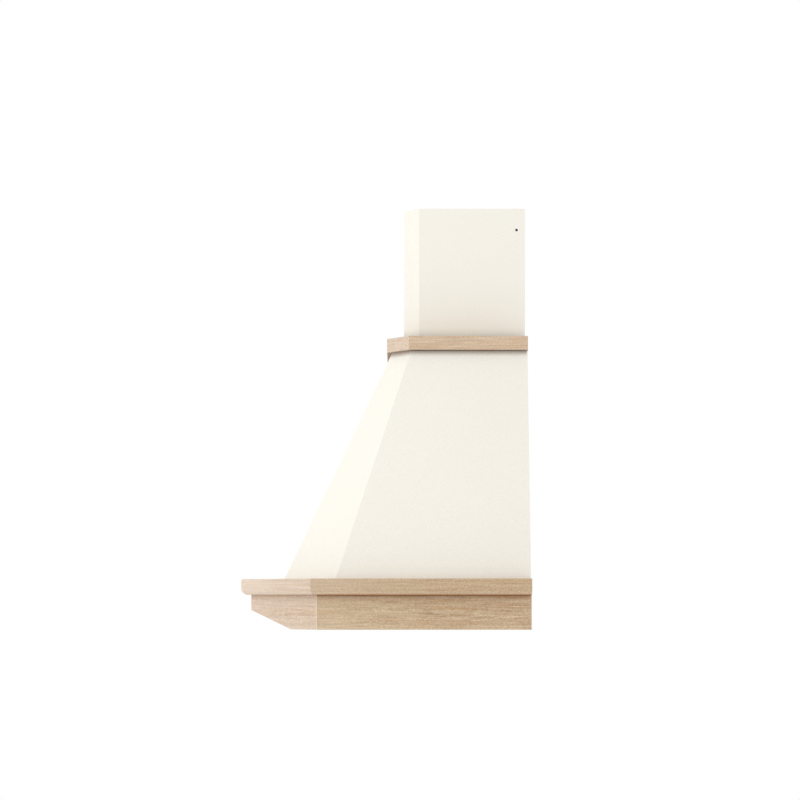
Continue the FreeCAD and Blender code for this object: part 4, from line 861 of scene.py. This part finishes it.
def make_screw(head_radius, head_height, shank_radius, length):
    """A screw along Z with its seat at the origin and its head below it."""
    bm = bmesh.new()
    half = head_radius * GRID_HALF
    cell = 2 * half / GRID_CELLS
    top = -head_height
    bmesh.ops.create_grid(bm, x_segments=GRID_CELLS, y_segments=GRID_CELLS, size=half)
    bmesh.ops.translate(bm, verts=bm.verts, vec=(0, 0, top))
    cross = []
    for face in bm.faces:
        near, far = sorted(abs(value) for value in face.calc_center_median()[:2])
        if near < 0.5 * cell and far < 1.5 * cell:
            cross.append(face)
    border = [edge for edge in bm.edges if edge.is_boundary]
    sunk = bmesh.ops.extrude_face_region(bm, geom=cross)["geom"]
    sunk = [item for item in sunk if isinstance(item, bmesh.types.BMVert)]
    bmesh.ops.translate(bm, verts=sunk, vec=(0, 0, RECESS_DEPTH * head_height))
    bmesh.ops.scale(bm, verts=sunk, vec=(RECESS_TAPER, RECESS_TAPER, 1))
    rim = bmesh.ops.create_circle(bm, segments=HEAD_SEGMENTS, radius=HEAD_FLAT * head_radius)["verts"]
    bmesh.ops.translate(bm, verts=rim, vec=(0, 0, top))
    rim = set(rim)
    loop = [edge for edge in bm.edges if rim.issuperset(edge.verts)]
    bmesh.ops.bridge_loops(bm, edges=border + loop)
    profile = [
        (0.96 * head_radius, 0.86 * top),
        (head_radius, 0.6 * top),
        (head_radius, 0.0),
        (shank_radius, 0.0),
        (shank_radius, length - 2 * shank_radius),
        (0.2 * shank_radius, length),
    ]
    for radius, height in profile:
        loop = draw_on(bm, loop, radius, height)
    bmesh.ops.edgeloop_fill(bm, edges=loop)
    bmesh.ops.recalc_face_normals(bm, faces=bm.faces)
    return finished_mesh("screw", bm)


def add_screws(node, inwards_of, size, material):
    """Puts a screw in the place of each solid of a node; inwards_of gives the way it is driven."""
    head_radius, head_height, shank_radius = size
    bm = bmesh.new()
    for low, high in separate_solids(node):
        middle = (low + high) / 2
        inwards = Vector(inwards_of(middle))
        length = abs((high - low).dot(inwards))
        seat = middle + inwards * (head_height - length / 2)
        screw = make_screw(head_radius, head_height, shank_radius, length - head_height)
        turn = Z_AXIS.rotation_difference(inwards).to_matrix().to_4x4()
        screw.transform(Matrix.Translation(seat) @ turn)
        take_in(bm, screw)
    add_piece(f"{node}_detailed", bm, "cover", material, node, smooth_below=40)


print(f"screw heads: {HEAD_SEGMENTS} sides round a grid of {GRID_CELLS} by {GRID_CELLS} cells")

# %% Screws
# Head's radius, head's height and shank's radius.
WOOD_SCREW = (3.5 * MM, 2.2 * MM, 1.8 * MM)
CHIMNEY_SCREW = (2.3 * MM, 2 * MM, 1.75 * MM)


def upwards(middle):
    return 0, 0, 1


def into_chimney(middle):
    return -math.copysign(1, middle.x), 0, 0


def make_screw_metal(name, colour, worn, metallic, roughness):
    material, tree, place = new_finish(name, Metallic=metallic)
    patina = remap(tree, noise(tree, place, 700.0, 3.0, 0.6), 0.35, 0.7)
    tone = blend(tree, scaled(tree, patina, 0.3), colour, worn)
    tone = wear_and_highlight_edges(tree, tone, worn, 0.5, reach=0.4 * MM)
    return connect(material, tone, scaled(tree, patina, 0.15, roughness))


ZINC = make_screw_metal("zinc_screws", srgb(196, 194, 184), srgb(228, 226, 218), 1.0, 0.3)
BLACK = make_screw_metal("black_screws", srgb(34, 38, 56), srgb(92, 94, 104), 0.2, 0.45)
add_screws("board_screws", upwards, WOOD_SCREW, ZINC)
add_screws("insert_screws", upwards, WOOD_SCREW, ZINC)
add_screws("chimney_screws", into_chimney, CHIMNEY_SCREW, BLACK)

# %% [markdown]
# ## The grease filter
# The filter is an aluminium cassette: a frame around a pack of expanded mesh, which is sheet slit and
# pulled open into diamonds. A picture with holes in it would look flat and would be lost in the exported
# mesh. A grid turned by 45 degrees and stretched gives the diamonds, cutting planes trim it to the
# frame's window, and the wireframe operator turns its edges into strands. Three layers lie on each
# other, each shifted and opened the other way, so that little is seen through them.

# %% Filter mesh
STRAND = 0.9 * MM
DIAMOND = (13 * MM, 7 * MM)
MESH_LAYERS = 3
LAYER_SHIFT = 1.7 * MM


def mesh_layer(bm, low, high, height, diamond, shift):
    """One sheet of diamonds between two corners of the window."""
    layer = bmesh.new()
    middle = (low + high) / 2
    reach = max(high.x - low.x, high.y - low.y)
    cells = math.ceil(2 * reach / min(diamond))
    bmesh.ops.create_grid(layer, x_segments=cells, y_segments=cells, size=cells / 2)
    bmesh.ops.rotate(layer, verts=layer.verts, matrix=Matrix.Rotation(math.radians(45), 3, "Z"))
    stretch = (diamond[0] / math.sqrt(2), diamond[1] / math.sqrt(2), 1)
    bmesh.ops.scale(layer, verts=layer.verts, vec=stretch)
    bmesh.ops.translate(layer, verts=layer.verts, vec=(middle.x + shift, middle.y + shift, height))
    for corner, outwards in ((low, (-1, 0, 0)), (low, (0, -1, 0)), (high, (1, 0, 0)), (high, (0, 1, 0))):
        whole = layer.verts[:] + layer.edges[:] + layer.faces[:]
        bmesh.ops.bisect_plane(layer, geom=whole, plane_co=corner, plane_no=outwards, clear_outer=True)
    whole = layer.faces[:]
    settings = {"use_replace": True, "use_boundary": True, "use_even_offset": True}
    bmesh.ops.wireframe(layer, faces=whole, thickness=STRAND, **settings)
    take_in(bm, finished_mesh("layer", layer))


window_low, window_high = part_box("filter_mesh")
mesh_bm = bmesh.new()
trim = Vector([STRAND / 2] * 3)
for count in range(MESH_LAYERS):
    share = (count + 0.5) / MESH_LAYERS
    level = window_low.z + share * (window_high.z - window_low.z)
    diamond = DIAMOND if count % 2 == 0 else DIAMOND[::-1]
    mesh_layer(mesh_bm, window_low + trim, window_high - trim, level, diamond, LAYER_SHIFT * count)
add_piece("filter_mesh_layers", mesh_bm, "grease_filter", ALUMINIUM, "filter_mesh")

# %% [markdown]
# ## Frame, latch, switches and lamps
# These are the parts that fingers touch and eyes meet from below. Each starts from its solid and gets
# rounded edges of its own size. The latch also gets ribs in its finger grip, and each button a shallow
# dish, made by insetting the face that is pressed and pushing it in.

# %% Filter frame and latch
add_rounded("filter_frame", "grease_filter", ALUMINIUM, 0.8 * MM, shortest=30 * MM)

GRIP_RIBS = 4
GRIP_DEPTH = 2.5 * MM
GRIP_FRONT, GRIP_REAR = 9 * MM, 3 * MM  # from the latch's rear edge
RIB = Vector((22 * MM, 0.9 * MM, 0.9 * MM))
RIB_STANDS_OUT = 0.7 * RIB.z
latch_low, latch_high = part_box("filter_latch")
latch_bm = merged_copy("filter_latch")
soften(latch_bm, 0.4 * MM)
rib_level = latch_low.z + GRIP_DEPTH + RIB.z / 2 - RIB_STANDS_OUT
for count in range(GRIP_RIBS):
    rib = bmesh.ops.create_cube(latch_bm, size=1.0)["verts"]
    bmesh.ops.scale(latch_bm, verts=rib, vec=RIB)
    share = (count + 1) / (GRIP_RIBS + 1)
    depth = latch_high.y - GRIP_FRONT + share * (GRIP_FRONT - GRIP_REAR)
    bmesh.ops.translate(latch_bm, verts=rib, vec=(0, depth, rib_level))
add_piece("filter_latch_ribbed", latch_bm, "latch", GREY_PLASTIC, "filter_latch")

# %% Switch panel and buttons
add_rounded("control_panel", "cover", GREY_PLASTIC, 0.5 * MM, shortest=10 * MM)

BUTTON_RIM = 1.6 * MM
DISH_DEPTH = 0.5 * MM
for use in ("light", "low_speed", "middle_speed", "high_speed"):
    button = f"{use}_button"
    button_bm = merged_copy(button)
    soften(button_bm, 0.7 * MM, 3)
    pressed = min(button_bm.faces, key=lambda face: face.calc_center_median().z)
    bmesh.ops.inset_individual(button_bm, faces=[pressed], thickness=BUTTON_RIM)
    bmesh.ops.translate(button_bm, verts=pressed.verts, vec=(0, 0, DISH_DEPTH))
    add_piece(f"{button}_dished", button_bm, button, BUTTON_PLASTIC, button)

# %% [markdown]
# ### The lamps
# Each lamp is a flat housing with a frosted plastic lens let into its rim. Frosting is a rough
# transmission, and small prisms moulded inside the lens break up the light: Voronoi cells of 2 mm, as a
# bump, because they lie under a smooth outer face.


# %% Lamps
PRISM = 2 * MM


def make_lens():
    material, tree, place = new_finish("frosted_lens", Transmission_Weight=0.55, IOR=1.49)
    cells = add_node(tree, "ShaderNodeTexVoronoi", [("Vector", place), ("Scale", 1 / PRISM)])
    prisms = cells.outputs["Distance"]
    frost = noise(tree, place, 900.0, 3.0, 0.6)
    colour = blend(tree, remap(tree, prisms, 0.0, 0.7), srgb(250, 251, 250), srgb(226, 232, 232))
    roughness = remap(tree, frost, *NOISE_SPAN, 0.28, 0.42)
    return connect(material, colour, roughness, prisms, 0.1 * MM, 0.4)


LENS = make_lens()
for side in ("right", "left"):
    add_rounded(f"{side}_lamp", "cover", LAMP_LACQUER, 0.8 * MM, 3, shortest=10 * MM)
    add_rounded(f"{side}_lamp_lens", "cover", LENS, 0.4 * MM)

# %% [markdown]
# ## The light
# The hood is shown in even light with no shadow of its own to speak of. Large lamps could give that, but
# each makes the boards that face it much brighter. A world that is bright all round does it better:
# every face gets nearly the same, the front a little more than the back, and the ledge and the band
# still shade what is under them. One weak lamp in front gives the corners a soft gleam. The camera,
# reflections and glass see the world as plain white, whatever its strength on the boards.

# %% Light
# The finishes add painted shade under the ledge and the band and in the inner corners.
FILL = 1.01
FROM_FRONT = 0.19

world = bpy.data.worlds.new("studio")
bpy.context.scene.world = world
world.use_nodes = True
tree = world.node_tree
tree.nodes.clear()
direction = add_node(tree, "ShaderNodeTexCoord").outputs["Generated"]
forwards = split_vector(tree, direction)[1]
fill = scaled(tree, forwards, -FROM_FRONT * FILL, FILL)
light_path = add_node(tree, "ShaderNodeLightPath").outputs
mirrored = math_node(tree, "MAXIMUM", light_path["Is Glossy Ray"], light_path["Is Transmission Ray"])
seen = math_node(tree, "MAXIMUM", light_path["Is Camera Ray"], mirrored)
unseen = math_node(tree, "SUBTRACT", 1.0, seen)
strength = scaled(tree, fill, unseen, seen)
background = add_node(tree, "ShaderNodeBackground", [("Color", (1, 1, 1, 1)), ("Strength", strength)])
add_node(tree, "ShaderNodeOutputWorld", [("Surface", background.outputs[0])])

LAMP_PLACE = Vector((1.2, -3.0, 0.3))
LAMP_AIM = Vector((0, -0.2, -0.1))
LAMP_SIZE = 1.8
LAMP_POWER = 2
lamp = bpy.data.lights.new("front_lamp", "AREA")
lamp.shape = "SQUARE"
lamp.size = LAMP_SIZE
lamp.energy = LAMP_POWER
lamp_holder = add_object("front_lamp", lamp)
lamp_holder.location = LAMP_PLACE
lamp_holder.rotation_euler = (LAMP_AIM - LAMP_PLACE).to_track_quat("-Z", "Y").to_euler()
print(f"world strength {FILL * (1 - FROM_FRONT):.2f} behind to {FILL * (1 + FROM_FRONT):.2f} in front")

# %% [markdown]
# ## Floor and camera
# The floor lies where a worktop's height would put it, far enough below to stay out of the picture. The
# camera looks squarely at the hood's right side, level with the underside of the ledge. A long way off
# and with a long lens, it keeps upright lines upright by shifting the picture up instead of tilting.

# %% Floor
FLOOR_BELOW = 1.15
FLOOR_HALF = 3.0
FLOOR_TONES = ((0.93, 0.93, 0.93, 1), (0.92, 0.92, 0.92, 1))

floor_bm = bmesh.new()
bmesh.ops.create_grid(floor_bm, x_segments=1, y_segments=1, size=FLOOR_HALF)
floor_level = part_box("apron_right_side")[0].z - FLOOR_BELOW
bmesh.ops.translate(floor_bm, verts=floor_bm.verts, vec=(0, 0, floor_level))
floor = add_object("floor", finished_mesh("floor", floor_bm))
material, tree, place = new_finish("pale_floor")
floor_tone = blend(tree, noise(tree, place, 3.0), *FLOOR_TONES)
floor.data.materials.append(connect(material, floor_tone, roughness=0.9))
print(f"floor at {floor_level:.3f} m")

# %% Camera
LENS_LENGTH = 81.0
SENSOR = 36.0
CAMERA_PLACE = (3.321, -0.2222, -0.3838)
SHIFT_UP = 0.24375

camera_data = bpy.data.cameras.new("camera")
camera_data.lens = LENS_LENGTH
camera_data.sensor_width = SENSOR
camera_data.shift_y = SHIFT_UP
camera = add_object("camera", camera_data)
camera.location = CAMERA_PLACE
camera.rotation_euler = (math.radians(90), 0, math.radians(90))
bpy.context.scene.camera = camera
bpy.context.scene.view_settings.view_transform = "Standard"
print(f"camera {CAMERA_PLACE[0]:.3f} m to the right, lens {LENS_LENGTH} mm")
